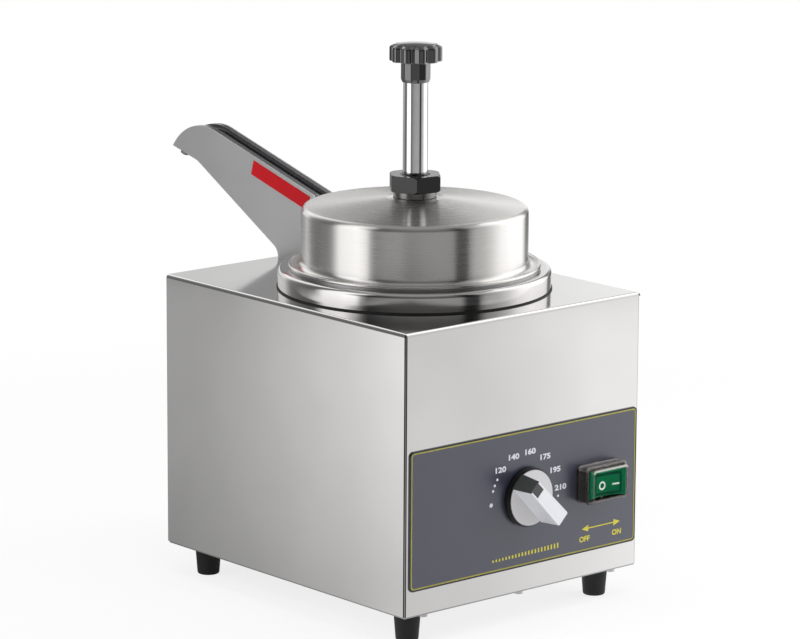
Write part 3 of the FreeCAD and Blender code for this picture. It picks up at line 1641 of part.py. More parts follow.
def main():
    os.makedirs("parts", exist_ok=True)
    save("outer_case", [outer_case()])
    save("rear_panel", [rear_panel()])
    save("bottom_plate", [bottom_plate()])
    save("corner_angles", corner_angles())
    save("case_screws", case_screws())
    save("feet", feet())
    save("foot_screws", foot_screws())
    save("well", [well()])
    save("well_collar", [well_collar()])
    save("collar_gasket", [collar_gasket()])
    save("collar_studs", collar_studs())
    save("plate_heater", [plate_heater()])
    save("heater_clamp", [heater_clamp()])
    save("heater_studs", heater_studs())
    save("well_insulation", [well_insulation()])
    save("inset_jar", [inset_jar()])
    save("lid_cover", [lid_cover()])
    save("pump_head", [pump_head()])
    save("rod_bushing", [rod_bushing()])
    save("nut_washer", [nut_washer()])
    save("lock_nut", [lock_nut()])
    save("pump_cylinder", [pump_cylinder()])
    save("valve_body", [valve_body()])
    save("stop_pin", [stop_pin()])
    save("intake_ball", [ball(axis_y, intake_seat)])
    save("outlet_ball", [ball(riser_y, outlet_seat)])
    save("tube_nut", [tube_nut()])
    save("tube_grommet", [tube_grommet()])
    save("discharge_tube", [discharge_tube()])
    save("plunger_rod", [plunger_rod()])
    save("piston", [piston()])
    save("piston_seal", [piston_seal()])
    save("return_spring", [return_spring()])
    save("plunger_knob", [plunger_knob()])
    save("spout_housing", [spout_housing()])
    save("spout_trough", [spout_trough()])
    save("spout_heater", [spout_heater()])
    save("spout_label", [spout_label()])
    save("spout_screws", spout_screws())
    save("control_overlay", [control_overlay()])
    save("dial_skirt", [dial_skirt()])
    save("dial_disc", [dial_disc()])
    save("dial_grip", [dial_grip()])
    save("dial_pointer", [dial_pointer()])
    save("dial_shaft", [dial_shaft()])
    save("thermostat_body", [thermostat_body()])
    save("thermostat_bracket", [thermostat_bracket()])
    save("thermostat_bulb", [thermostat_bulb()])
    save("bulb_clip", [bulb_clip()])
    save("capillary_tube", [capillary_tube()])
    save("high_limit", [high_limit()])
    save("switch_body", [switch_body()])
    save("switch_bezel", [switch_bezel()])
    save("rocker", [rocker()])
    save("rocker_pin", [rocker_pin()])
    save("switch_boot", [switch_boot()])
    save("terminal_block", [terminal_block()])
    save("earth_stud", earth_stud())
    save("inner_wires", inner_wires())
    save("cord_gland", [cord_gland(), gland_nut()])


main()
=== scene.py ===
import math

import bmesh
import bpy
import numpy as np
from mathutils import Matrix, Vector


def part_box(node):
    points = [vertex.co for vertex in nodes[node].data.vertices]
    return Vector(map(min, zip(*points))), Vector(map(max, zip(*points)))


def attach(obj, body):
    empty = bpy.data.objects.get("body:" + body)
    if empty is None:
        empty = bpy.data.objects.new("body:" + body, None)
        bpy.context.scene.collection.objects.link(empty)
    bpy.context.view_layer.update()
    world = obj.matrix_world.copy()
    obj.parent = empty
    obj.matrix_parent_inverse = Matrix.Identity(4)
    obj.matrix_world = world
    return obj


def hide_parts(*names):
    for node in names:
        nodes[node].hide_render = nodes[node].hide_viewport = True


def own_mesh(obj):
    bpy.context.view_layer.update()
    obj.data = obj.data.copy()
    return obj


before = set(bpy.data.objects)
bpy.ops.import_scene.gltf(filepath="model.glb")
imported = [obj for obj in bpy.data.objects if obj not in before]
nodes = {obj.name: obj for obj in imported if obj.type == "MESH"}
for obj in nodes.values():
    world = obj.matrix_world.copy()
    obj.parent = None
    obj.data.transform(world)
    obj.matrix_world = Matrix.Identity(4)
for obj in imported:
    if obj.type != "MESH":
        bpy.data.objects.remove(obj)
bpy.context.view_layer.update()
mm = 0.001

lidLow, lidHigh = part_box("lid_cover")
pumpAxis = ((lidLow + lidHigh) / 2).to_tuple()[:2]  # the pump, the jar and the well share it
print("frame loaded,", len(nodes), "nodes")


# camera, at the photograph's angle, for an 800 by 639 frame, whose size is not set here

cameraView = {
    "azimuth": -41.109, "elevation": 12.217, "roll": 0.3224, "distance": 2.89996,
    "aim": (-0.001015, -0.047959, 0.191725), "lens": 186.07, "sensor": 36.0,
}


def placed(name, data):
    item = bpy.data.objects.new(name, data)
    bpy.context.scene.collection.objects.link(item)
    return item


def placeCamera(view):
    # back points from the aim to the camera, right and up span the picture, turned by the roll
    azimuth, elevation = math.radians(view["azimuth"]), math.radians(view["elevation"])
    roll = math.radians(view["roll"])
    back = Vector((math.sin(azimuth) * math.cos(elevation),
                   -math.cos(azimuth) * math.cos(elevation), math.sin(elevation)))
    right = Vector((math.cos(azimuth), math.sin(azimuth), 0))
    up = back.cross(right)
    rightRolled = right * math.cos(roll) + up * math.sin(roll)
    upRolled = up * math.cos(roll) - right * math.sin(roll)
    turn = Matrix((rightRolled, upRolled, back)).transposed().to_4x4()
    data = bpy.data.cameras.new("photoCamera")
    data.lens, data.sensor_width, data.sensor_fit = view["lens"], view["sensor"], "HORIZONTAL"
    data.clip_start, data.clip_end = 0.1, 30
    camera = placed("photoCamera", data)
    camera.matrix_world = Matrix.Translation(Vector(view["aim"]) + back * view["distance"]) @ turn
    bpy.context.scene.camera = camera


placeCamera(cameraView)
bpy.context.scene.view_settings.view_transform = "Standard"


# node helpers

def linear(hexColour):
    # sRGB hex to the linear values that shaders take
    parts = [int(hexColour[i:i + 2], 16) / 255 for i in (1, 3, 5)]
    return (*(c / 12.92 if c <= 0.04045 else ((c + 0.055) / 1.055) ** 2.4 for c in parts), 1.0)


def grey(level):
    return (level, level, level, 1.0)


def addNode(tree, kind, settings=None, inputs=None, stops=()):
    # one node with its settings; an input is a value or another node's output socket, and the
    # stops of a colour ramp are places and their colours
    node = tree.nodes.new(kind)
    for name, value in (settings or {}).items():
        setattr(node, name, value)
    for name, value in (inputs or {}).items():
        if isinstance(value, bpy.types.NodeSocket):
            tree.links.new(value, node.inputs[name])
        else:
            node.inputs[name].default_value = value
    for order, (place, colour) in enumerate(stops):
        element = node.color_ramp.elements[order]
        element.position, element.color = place, colour
    return node


def blankMaterial(name):
    material = bpy.data.materials.new(name)
    material.use_nodes = True
    material.node_tree.nodes.clear()
    return material, material.node_tree


def closeMaterial(tree, shader):
    addNode(tree, "ShaderNodeOutputMaterial", inputs={"Surface": shader.outputs[0]})


def patternAt(tree, stretch):
    # the piece's own place in metres, times stretch
    place = addNode(tree, "ShaderNodeTexCoord")
    return addNode(tree, "ShaderNodeMapping", inputs={
        "Vector": place.outputs["Object"], "Scale": stretch}).outputs["Vector"]


def surfaceOf(tree, pattern, colour, spread, roughness, bump=0.0, depth=0.0):
    # what a fine pattern does to a finish: it darkens it by the share spread, moves its roughness
    # between two values and, with bump, raises it by up to depth mm
    dark = (*(c * (1 - spread) for c in linear(colour)[:3]), 1.0)
    tint, rough = (
        addNode(tree, "ShaderNodeValToRGB", inputs={"Fac": pattern},
                stops=((0.3, low), (0.7, high)))
        for low, high in ((dark, linear(colour)), (grey(roughness[0]), grey(roughness[1]))))
    surface = {"Base Color": tint.outputs["Color"], "Roughness": rough.outputs["Color"]}
    if bump:
        relief = addNode(tree, "ShaderNodeBump", inputs={
            "Height": pattern, "Strength": bump, "Distance": depth * mm})
        surface["Normal"] = relief.outputs["Normal"]
    return surface


# materials of metal

lineRun = 60  # a brushed line is this many times as long as it is wide
cloudsPerMetre = 14  # large soft patches, about 70 mm across


def acrossLines(tree):
    # direction square to the brushing: up on the walls, to the back where the sheet lies flat
    place = addNode(tree, "ShaderNodeTexCoord")
    parts = addNode(tree, "ShaderNodeSeparateXYZ", inputs={"Vector": place.outputs["Normal"]})
    flat = addNode(tree, "ShaderNodeMath", {"operation": "ABSOLUTE"}, {0: parts.outputs["Z"]})
    wall = addNode(tree, "ShaderNodeMath", {"operation": "SUBTRACT"}, {0: 1.0, 1: flat.outputs[0]})
    return addNode(tree, "ShaderNodeCombineXYZ", inputs={
        "Y": flat.outputs[0], "Z": wall.outputs[0]}).outputs["Vector"]


def foldShadeMask(tree, foldShading):
    # painted fold shade: 0 along the upright folds at plus and minus the given x and the given y, 1
    # away from them
    place = addNode(tree, "ShaderNodeTexCoord")
    mirrored = addNode(tree, "ShaderNodeVectorMath", {"operation": "ABSOLUTE"}, {
        0: place.outputs["Object"]})
    apart = addNode(tree, "ShaderNodeVectorMath", {"operation": "SUBTRACT"}, {
        0: mirrored.outputs[0], 1: (foldShading["x"], abs(foldShading["y"]), 0)})
    level = addNode(tree, "ShaderNodeVectorMath", {"operation": "MULTIPLY"}, {
        0: apart.outputs[0], 1: (1, 1, 0)})
    reach = addNode(tree, "ShaderNodeVectorMath", {"operation": "LENGTH"}, {0: level.outputs[0]})
    return addNode(tree, "ShaderNodeMapRange", {"interpolation_type": "SMOOTHSTEP"}, {
        "Value": reach.outputs["Value"], "From Min": foldShading["inner"] * mm,
        "From Max": foldShading["outer"] * mm}).outputs["Result"]


def rolledSheet(name, colour, lineWidth, along, roughness=(0.22, 0.34), bump=0.05, spread=0.06,
                anisotropy=0.6, foldShading=None):
    # stainless sheet with a fine directional brushing: reflections smear square to the lines.
    # Real lines are about 0.1 mm apart, drawn here at lineWidth mm so that they show at all
    material, tree = blankMaterial(name)
    across = 1 / (lineWidth * mm)
    stretch = tuple(across / lineRun if axis in along else across for axis in "xyz")
    lines = addNode(tree, "ShaderNodeTexNoise", inputs={
        "Vector": patternAt(tree, stretch), "Scale": 1.0, "Detail": 3.0, "Roughness": 0.6})
    cloud = addNode(tree, "ShaderNodeTexNoise", inputs={
        "Vector": patternAt(tree, (cloudsPerMetre,) * 3), "Scale": 1.0, "Detail": 2.0})
    cloudy = addNode(tree, "ShaderNodeValToRGB", inputs={"Fac": cloud.outputs["Fac"]},
                     stops=((0.3, grey(0.94)), (0.7, grey(1.0))))
    surface = surfaceOf(tree, lines.outputs["Fac"], colour, spread, roughness, bump, 0.1)
    base = addNode(tree, "ShaderNodeMix", {"data_type": "RGBA", "blend_type": "MULTIPLY"}, {
        0: 1.0, 6: surface["Base Color"], 7: cloudy.outputs["Color"]})
    # painted shade: a dark line is painted into the base colour along the folds
    if foldShading:
        base = addNode(tree, "ShaderNodeMix", {"data_type": "RGBA"}, {
            0: foldShadeMask(tree, foldShading), 6: linear(foldShading["colour"]), 7: base.outputs[2]})
    surface["Base Color"] = base.outputs[2]
    closeMaterial(tree, addNode(tree, "ShaderNodeBsdfPrincipled", inputs={
        **surface, "Metallic": 1.0, "Anisotropic": anisotropy, "Tangent": acrossLines(tree)}))
    return material


def turnedSheet(name, colour, ringSpacing, roughness, spread, bump, anisotropy):
    # stainless spun and brushed round its axis: the lines follow the piece's own UV map, u round
    # the axis and v along the profile in metres, and the reflections stretch up and down. Real
    # lines are finer than ringSpacing mm, which is what still shows
    material, tree = blankMaterial(name)
    place = addNode(tree, "ShaderNodeTexCoord")
    rings = addNode(tree, "ShaderNodeMapping", inputs={
        "Vector": place.outputs["UV"], "Scale": (6.0, 1 / (ringSpacing * mm), 1.0)})
    lines = addNode(tree, "ShaderNodeTexNoise", {"noise_dimensions": "2D"}, {
        "Vector": rings.outputs["Vector"], "Scale": 1.0, "Detail": 3.0, "Roughness": 0.65})
    tangent = addNode(tree, "ShaderNodeTangent", {"direction_type": "UV_MAP", "uv_map": "UVMap"})
    closeMaterial(tree, addNode(tree, "ShaderNodeBsdfPrincipled", inputs={
        **surfaceOf(tree, lines.outputs["Fac"], colour, spread, roughness, bump, 0.1),
        "Metallic": 1.0, "Anisotropic": anisotropy, "Anisotropic Rotation": 0.25,
        "Tangent": tangent.outputs["Tangent"]}))
    return material


def plainMetal(name, colour, roughness, grain=0.03, grainSize=2.0):
    # turned, cast or drawn metal with a faint mottle of grainSize mm in its polish
    material, tree = blankMaterial(name)
    mottle = addNode(tree, "ShaderNodeTexNoise", inputs={
        "Vector": patternAt(tree, (1 / (grainSize * mm),) * 3), "Scale": 1.0, "Detail": 4.0})
    polish = max(roughness - grain, 0.02), roughness + grain
    closeMaterial(tree, addNode(tree, "ShaderNodeBsdfPrincipled", inputs={
        **surfaceOf(tree, mottle.outputs["Fac"], colour, 0.07, polish), "Metallic": 1.0}))
    return material


# materials of plastic, rubber and print

def mouldedPlastic(name, colour, roughness, grainSize=0.6, bump=0.08, coat=0.0, spread=0.08,
                   specular=0.5, coatIor=1.6, sideShade=None):
    # injection moulded: a fine spark-eroded grain of grainSize mm breaks the gloss, and no
    # pigment shows. A side colour is painted shade: the sides take it, and the first colour stays
    # on the flat front alone
    material, tree = blankMaterial(name)
    grain = addNode(tree, "ShaderNodeTexNoise", inputs={
        "Vector": patternAt(tree, (1 / (grainSize * mm),) * 3), "Scale": 1.0, "Detail": 3.0})
    gloss = max(roughness - 0.04, 0.03), roughness + 0.04
    surface = surfaceOf(tree, grain.outputs["Fac"], colour, spread, gloss, bump, 0.05)
    # painted shade: faces that don't look straight ahead take the darker side colour
    if sideShade:
        place = addNode(tree, "ShaderNodeTexCoord")
        parts = addNode(tree, "ShaderNodeSeparateXYZ", inputs={"Vector": place.outputs["Normal"]})
        front = addNode(tree, "ShaderNodeMapRange", inputs={
            "Value": parts.outputs["Y"], "From Min": -0.8, "From Max": -0.95})
        surface["Base Color"] = addNode(tree, "ShaderNodeMix", {"data_type": "RGBA"}, {
            0: front.outputs["Result"], 6: linear(sideShade),
            7: surface["Base Color"]}).outputs[2]
    closeMaterial(tree, addNode(tree, "ShaderNodeBsdfPrincipled", inputs={
        **surface, "Coat Weight": coat, "Coat Roughness": max(roughness - 0.08, 0.03),
        "Coat IOR": coatIor, "Specular IOR Level": specular}))
    return material


# mm between the faint waves of the wall, their strength and height in mm, and its gloss; the low
# IOR stands for the inner and the outer face of a thin wall, which bend light back between them
bootFilm = {"waveSize": 4.0, "wave": 0.12, "waveHeight": 0.4, "roughness": 0.06, "ior": 1.06,
            "coat": 0.02, "coatRoughness": 0.05}


def clearPlastic(name, colour, sheenColour, s):
    # soft clear PVC; its rounded edges carry a pale painted highlight in place of the clear wall.
    # The piece carries that as its own attribute, from 0, clear, to 1
    material, tree = blankMaterial(name)
    wave = addNode(tree, "ShaderNodeTexNoise", inputs={
        "Vector": patternAt(tree, (1 / (s["waveSize"] * mm),) * 3), "Scale": 1.0, "Detail": 1.0})
    relief = addNode(tree, "ShaderNodeBump", inputs={
        "Height": wave.outputs["Fac"], "Strength": s["wave"], "Distance": s["waveHeight"] * mm})
    paintedSheen = addNode(tree, "ShaderNodeAttribute", {"attribute_name": "paintedSheen"})
    tint = addNode(tree, "ShaderNodeValToRGB", inputs={"Fac": paintedSheen.outputs["Fac"]},
                   stops=((0.0, linear(colour)), (1.0, linear(sheenColour))))
    clear = addNode(tree, "ShaderNodeMath", {"operation": "SUBTRACT"}, {
        0: 1.0, 1: paintedSheen.outputs["Fac"]})
    closeMaterial(tree, addNode(tree, "ShaderNodeBsdfPrincipled", inputs={
        "Base Color": tint.outputs["Color"], "Roughness": s["roughness"], "IOR": s["ior"],
        "Transmission Weight": clear.outputs[0], "Normal": relief.outputs["Normal"],
        "Coat Weight": s["coat"], "Coat Roughness": s["coatRoughness"]}))
    return material


# painted shade: a dark line is painted along the bends of the two front folds, where they fall dark
caseLow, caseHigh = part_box("outer_case")
frontFoldShade = {"x": caseHigh.x, "y": caseLow.y, "inner": 1.3, "outer": 1.7, "colour": "#585858"}

# mm between the lines, the axis they run along, roughness, bump, spread, anisotropy
caseSteel = rolledSheet("brushedStainlessCase", "#d9d8d7", 0.5, "y", (0.07, 0.11), 0.008, 0.02,
                        0.3, frontFoldShade)  # close to a mirror, softly streaked; painted shade along the front folds
panelSteel = rolledSheet("brushedStainlessPanel", "#d4d4d4", 0.5, "x", (0.16, 0.24), 0.02, 0.03,
                         0.3)  # duller, with level streaks
innerSteel = rolledSheet("millFinishStainless", "#a9a9aa", 0.8, "z", (0.34, 0.48), 0.03,
                         0.08)  # grey, unpolished
spoutSteel = rolledSheet("mattStainlessSpout", "#dbdbdc", 0.45, "y", (0.46, 0.56), 0.02, 0.03,
                         0.2)  # pale, almost without reflections
# mm between the rings, roughness, spread, bump, anisotropy
lidSteel = turnedSheet("spunStainlessLid", "#d6d4d1", 0.3, (0.21, 0.28), 0.05, 0.025,
                       0.97)  # satin, with sharp upright bands
collarSteel = turnedSheet("spunStainlessCollar", "#cdcbca", 0.5, (0.1, 0.16), 0.05, 0.02,
                          0.8)  # brighter, its bands softer
# roughness, how much the mottle changes it, mm across the mottle
troughSteel = plainMetal("brightStainlessTrough", "#a2a2a4", 0.22)  # shines along the channel
rodChrome = plainMetal("polishedChromeRod", "#e6e6e8", 0.045, 0.01, 5.0)  # black and white stripes
tubeSteel = plainMetal("drawnStainlessTube", "#8f8f91", 0.3)  # dark grey, soft shine
washerSteel = plainMetal("turnedStainlessWasher", "#8c8b8a", 0.26)  # dull, one bright line
screwSteel = plainMetal("zincPlatedScrews", "#b9bbbe", 0.28, 0.05)  # bluish, half bright
heaterMetal = plainMetal("castAluminiumHeater", "#a8a8a6", 0.48, 0.08, 1.2)  # grey, sandy skin
copperTube = plainMetal("drawnCopperTube", "#c98a63", 0.25)  # warm and bright
brassStud = plainMetal("turnedBrassStud", "#c7a75a", 0.26)  # yellow and bright

# roughness, mm across the grain, bump, coat, spread, specular level, IOR of the coat
knobBlack = mouldedPlastic("glossPhenolicKnob", "#040405", 0.09, 2.5, 0.01, 1.0, 0.08, 0.1,
                           2.15)  # deep black, hard highlights
nutBlack = mouldedPlastic("glossNylonNut", "#050506", 0.12, 2.5, 0.02, 0.42, 0.08, 0.18,
                          1.65)  # black, a little greyer
dialSilver = mouldedPlastic("silverDialShadedSides", "#cfcdcf", 0.34, 0.4, 0.12, 0.15, 0.04,
                            sideShade="#1b1b1c")  # satin silver, with painted shade on its sides
dialGrip = mouldedPlastic("paleSilverGrip", "#e8e9ef", 0.3, 0.4, 0.1, 0.2, 0.03)  # near white
dialBlack = mouldedPlastic("satinBlackPointer", "#434745", 0.38, 0.5, 0.1)  # charcoal
skirtBlack = mouldedPlastic("satinBlackSkirt", "#141414", 0.4, 0.5, 0.1)  # soft black
overlayPrint = mouldedPlastic("slatePolyesterOverlay", "#303345", 0.4, 0.5, 0.04, 0.85,
                              0.06)  # blue-grey ink under a clear film
switchBlack = mouldedPlastic("glossNylonSwitch", "#0d0d0e", 0.2, 1.0, 0.05, 0.2)  # black, glossy
rockerGreen = mouldedPlastic("translucentGreenRocker", "#00653f", 0.3, 1.5, 0.03, 0.0, 0.08,
                             0.02)  # deep even green, no highlight
grooveShadeGreen = mouldedPlastic("greenGrooveShade", "#003a2a", 0.3, 1.5, 0.03, 0.0, 0.08,
                             0.02)  # painted shade of the moulded groove round the lens
footRubber = mouldedPlastic("mouldedRubberFoot", "#1d1d1f", 0.62, 0.8, 0.2, 0.0, 0.15, 0.3)  # dull
gasketRubber = mouldedPlastic("blackRubberGasket", "#121212", 0.6, 0.8, 0.15)  # a dark line
sealSilicone = mouldedPlastic("siliconeSeal", "#d8d2c6", 0.45, 1.0, 0.08)  # milky, waxy
whiteAcetal = mouldedPlastic("whiteAcetal", "#dddcd8", 0.35, 1.0, 0.05)  # hard, clean white
insulationWool = mouldedPlastic("mineralWoolJacket", "#d9d3b8", 0.9, 1.5, 0.9, 0.0, 0.3,
                                0.1)  # straw yellow, matt and fibrous
wireJacket = mouldedPlastic("siliconeWireJacket", "#7a3f34", 0.5, 1.5, 0.05)  # soft brick red
labelRed = mouldedPlastic("redVinylLabel", "#b9101a", 0.45, 0.6, 0.05, 0.0, 0.05, 0.1)  # flat red
# screen inks: even colour, hardly any gloss
inkGold = mouldedPlastic("goldScreenInk", "#a39c40", 0.45, 0.5, 0.03)
inkWhite = mouldedPlastic("whiteScreenInk", "#dcdee4", 0.45, 0.5, 0.03, 0.0, 0.03)
inkYellow = mouldedPlastic("yellowScreenInk", "#d3c83a", 0.45, 0.5, 0.03, 0.0, 0.03)
inkBlack = mouldedPlastic("blackScreenInk", "#1c1c20", 0.4, 0.5, 0.03, 0.0, 0.03)
inkMint = mouldedPlastic("paleGreenInk", "#d9efe4", 0.4, 0.5, 0.03, 0.0, 0.03)
bootClear = clearPlastic("clearPvcBoot", "#f4efec", "#e3dfe0", bootFilm)  # clear, with a pale painted highlight on its edges
print("materials made")


# shapes as arrays

def ramped(value, start, end):
    # 0 up to start, 1 from end on, straight between
    return np.clip((value - start) / (end - start), 0, 1)


def cellCorners(grid):
    # the four corners of each cell of a grid, in turn
    return np.stack([grid[:-1, :-1], grid[:-1, 1:], grid[1:, 1:], grid[1:, :-1]], 2)


def gridMesh(name, points, closeAcross=False, closeAlong=False, uv=None):
    # points is rows x columns x 3; neighbours become quads, wrapping round where asked. uv gives
    # u for each column and v for each row
    rows, columns = points.shape[:2]
    index = np.arange(rows * columns).reshape(rows, columns)
    down = np.vstack([index, index[:1]]) if closeAlong else index
    full = np.hstack([down, down[:, :1]]) if closeAcross else down
    quads = cellCorners(full).reshape(-1, 4)
    mesh = bpy.data.meshes.new(name)
    mesh.vertices.add(rows * columns)
    mesh.vertices.foreach_set("co", points.reshape(-1).astype(np.float32))
    mesh.loops.add(quads.size)
    mesh.loops.foreach_set("vertex_index", quads.reshape(-1).astype(np.int32))
    mesh.polygons.add(len(quads))
    mesh.polygons.foreach_set("loop_start", np.arange(0, quads.size, 4, dtype=np.int32))
    mesh.polygons.foreach_set("loop_total", np.full(len(quads), 4, dtype=np.int32))
    mesh.polygons.foreach_set("use_smooth", np.ones(len(quads), dtype=bool))
    mesh.update(calc_edges=True)
    if uv is not None:
        corners = cellCorners(np.stack(np.meshgrid(*uv), -1))
        layer = mesh.uv_layers.new(name="UVMap")
        layer.data.foreach_set("uv", corners.reshape(-1).astype(np.float32))
    mesh.validate()
    return placed(name, mesh)


def roundedOutline(corners, steps=8):
    # a closed outline through (a, b, radius) corners, each turned by an arc tangent to its sides:
    # the arc's centre is on the bisector, radius / sine of half the corner's angle from the
    # corner, and the vector from it to the first tangent point is swept round to the second
    spots = np.array([c[:2] for c in corners], float)
    radii = np.array([c[2] for c in corners], float)
    before, after = np.roll(spots, 1, 0) - spots, np.roll(spots, -1, 0) - spots
    before /= np.linalg.norm(before, axis=1)[:, None]
    after /= np.linalg.norm(after, axis=1)[:, None]
    half = np.arccos(np.clip((before * after).sum(1), -1, 1)) / 2
    bisector = before + after
    bisector /= np.linalg.norm(bisector, axis=1)[:, None]
    centre = spots + bisector * (radii / np.sin(half))[:, None]
    start = spots + before * (radii / np.tan(half))[:, None] - centre
    end = spots + after * (radii / np.tan(half))[:, None] - centre
    sweep = np.arctan2(start[:, 0] * end[:, 1] - start[:, 1] * end[:, 0], (start * end).sum(1))
    turn = sweep[:, None] * np.linspace(0, 1, steps)[None]
    cos, sin = np.cos(turn), np.sin(turn)
    arcs = np.stack([start[:, :1] * cos - start[:, 1:] * sin,
                     start[:, :1] * sin + start[:, 1:] * cos], -1) + centre[:, None]
    sharp = radii == 0
    arcs[sharp] = spots[sharp][:, None]
    return arcs


def closedProfile(corners, steps=8):
    # the rounded outline as one run of points, sharp corners kept once
    arcs = roundedOutline(corners, steps)
    return np.vstack([arc if corner[2] > 0 else arc[:1] for arc, corner in zip(arcs, corners)])


def spun(name, profile, segments=256):
    # a surface of revolution: each (radius, height) of the profile goes once round the axis
    angle = np.linspace(0, 2 * np.pi, segments, endpoint=False)
    radius, height = profile[:, :1], profile[:, 1:]
    points = np.stack([pumpAxis[0] + radius * np.cos(angle), pumpAxis[1] + radius * np.sin(angle),
                       height + 0 * angle], -1)
    loop = np.vstack([profile, profile[:1]])
    run = np.concatenate([[0], np.cumsum(np.linalg.norm(np.diff(loop, axis=0), axis=1))])
    return gridMesh(name, points, True, True, (np.linspace(0, 1, segments + 1), run))


def rectangle(left, right, foot, top, corner, steps=8):
    spots = [(left, foot, corner), (right, foot, corner), (right, top, corner), (left, top, corner)]
    return roundedOutline(spots, steps).reshape(-1, 2)


def circle(x, z, radius, count=28):
    turn = np.linspace(0, 2 * np.pi, count, endpoint=False)
    return np.stack([x + radius * np.cos(turn), z + radius * np.sin(turn)], -1)


def finished(piece, material, body, replaced=()):
    # its one material, the body it rides on, the CAD nodes it stands for and its material slot
    piece.data.materials.clear()
    piece.data.materials.append(material)
    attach(piece, body)
    if replaced:
        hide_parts(*replaced)
    return piece


def pointOutwards(piece):
    work = bmesh.new()
    work.from_mesh(piece.data)
    bmesh.ops.remove_doubles(work, verts=work.verts, dist=1e-6)
    bmesh.ops.recalc_face_normals(work, faces=work.faces)
    work.to_mesh(piece.data)
    work.free()
    return piece


# lid: deep spun cover with a rolled bead

lidSizes = {"beadCircle": 87.0, "beadRadius": 1.2, "wallRadius": 79.2, "sheet": 1.0,
            "wallHeight": 41.6, "height": 48.3, "edgeRound": 4.5, "footRound": 4.0,
            "flatRadius": 21.0, "holeRadius": 12.8}


def spinLid(s):
    # the profile is an arc of the rolled bead, then lines and tangent arcs up the wall, over the
    # crown to the hole and back a sheet's thickness inside, and it goes once round the axis
    seat = lidLow.z / mm
    bead, beadR, t = s["beadCircle"], s["beadRadius"], s["sheet"]
    turns = np.radians(np.linspace(-150, 150, 16))
    roll = np.stack([bead + beadR * np.cos(turns), seat + beadR + beadR * np.sin(turns)], -1)
    edge, inner = seat + s["wallHeight"], s["wallRadius"] - t
    outline = closedProfile([
        (bead, seat + t, 0), (s["wallRadius"], seat + t, s["footRound"]),
        (s["wallRadius"], edge, s["edgeRound"]), (s["flatRadius"], seat + s["height"], 0),
        (s["holeRadius"], seat + s["height"], 0), (s["holeRadius"], seat + s["height"] - t, 0),
        (s["flatRadius"], seat + s["height"] - t, 0), (inner, edge - t, s["edgeRound"] - t),
        (inner, seat, s["footRound"] + t), (bead, seat, 0)], 12)
    profile = np.vstack([roll, outline[1:-1]]) * mm
    return pointOutwards(spun("lidShell", profile))


finished(spinLid(lidSizes), lidSteel, "pump_lid", ["lid_cover"])


# collar round the well, one spun ring with a rolled shoulder

collarSizes = {"radius": 95.5, "inner": 82.2, "sheet": 1.2, "shoulder": 3.5}


def spinCollar(s):
    # the profile runs in along the underside of the top, down the wall, and back outside over
    # the shoulder, and it goes once round the axis
    low, high = (corner.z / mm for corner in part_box("well_collar"))
    inside, t = s["radius"] - s["sheet"], s["sheet"]
    profile = closedProfile([
        (s["inner"], high - t, 0), (inside, high - t, s["shoulder"] - t), (inside, low, 0),
        (s["radius"], low, 0.4), (s["radius"], high, s["shoulder"]), (s["inner"], high, 0.4)], 12)
    return pointOutwards(spun("collarRing", profile * mm))


finished(spinCollar(collarSizes), collarSteel, "base", ["well_collar"])
print("lid and collar spun")


# plunger knob: ten lobes on a domed head, over a faceted neck

knobSizes = {"radius": 18.3, "lobes": 10, "fluteDepth": 2.4, "fluteShape": 1.7, "lobeTurn": 14.0,
             "fluteFade": (0.55, 0.9), "rimRound": 1.6, "underRound": 0.8, "underFlat": 0.93,
             "dome": 1.8, "domeStart": 0.9, "domeShape": 0.9, "neckHeight": 14.6,
             "neckRadius": 10.4, "neckTip": 9.2, "tipEase": (0.25, 0.2), "neckChamfer": 2.4,
             "facets": 12, "facetTurn": -3.0, "facetReach": 1.008, "bore": 8.6, "segments": 400}


def roundPump(radius, angle, height):
    # radius and height in mm, carried round the pump's axis
    return np.stack([pumpAxis[0] / mm + radius * np.cos(angle),
                     pumpAxis[1] / mm + radius * np.sin(angle), height + 0 * angle], -1) * mm


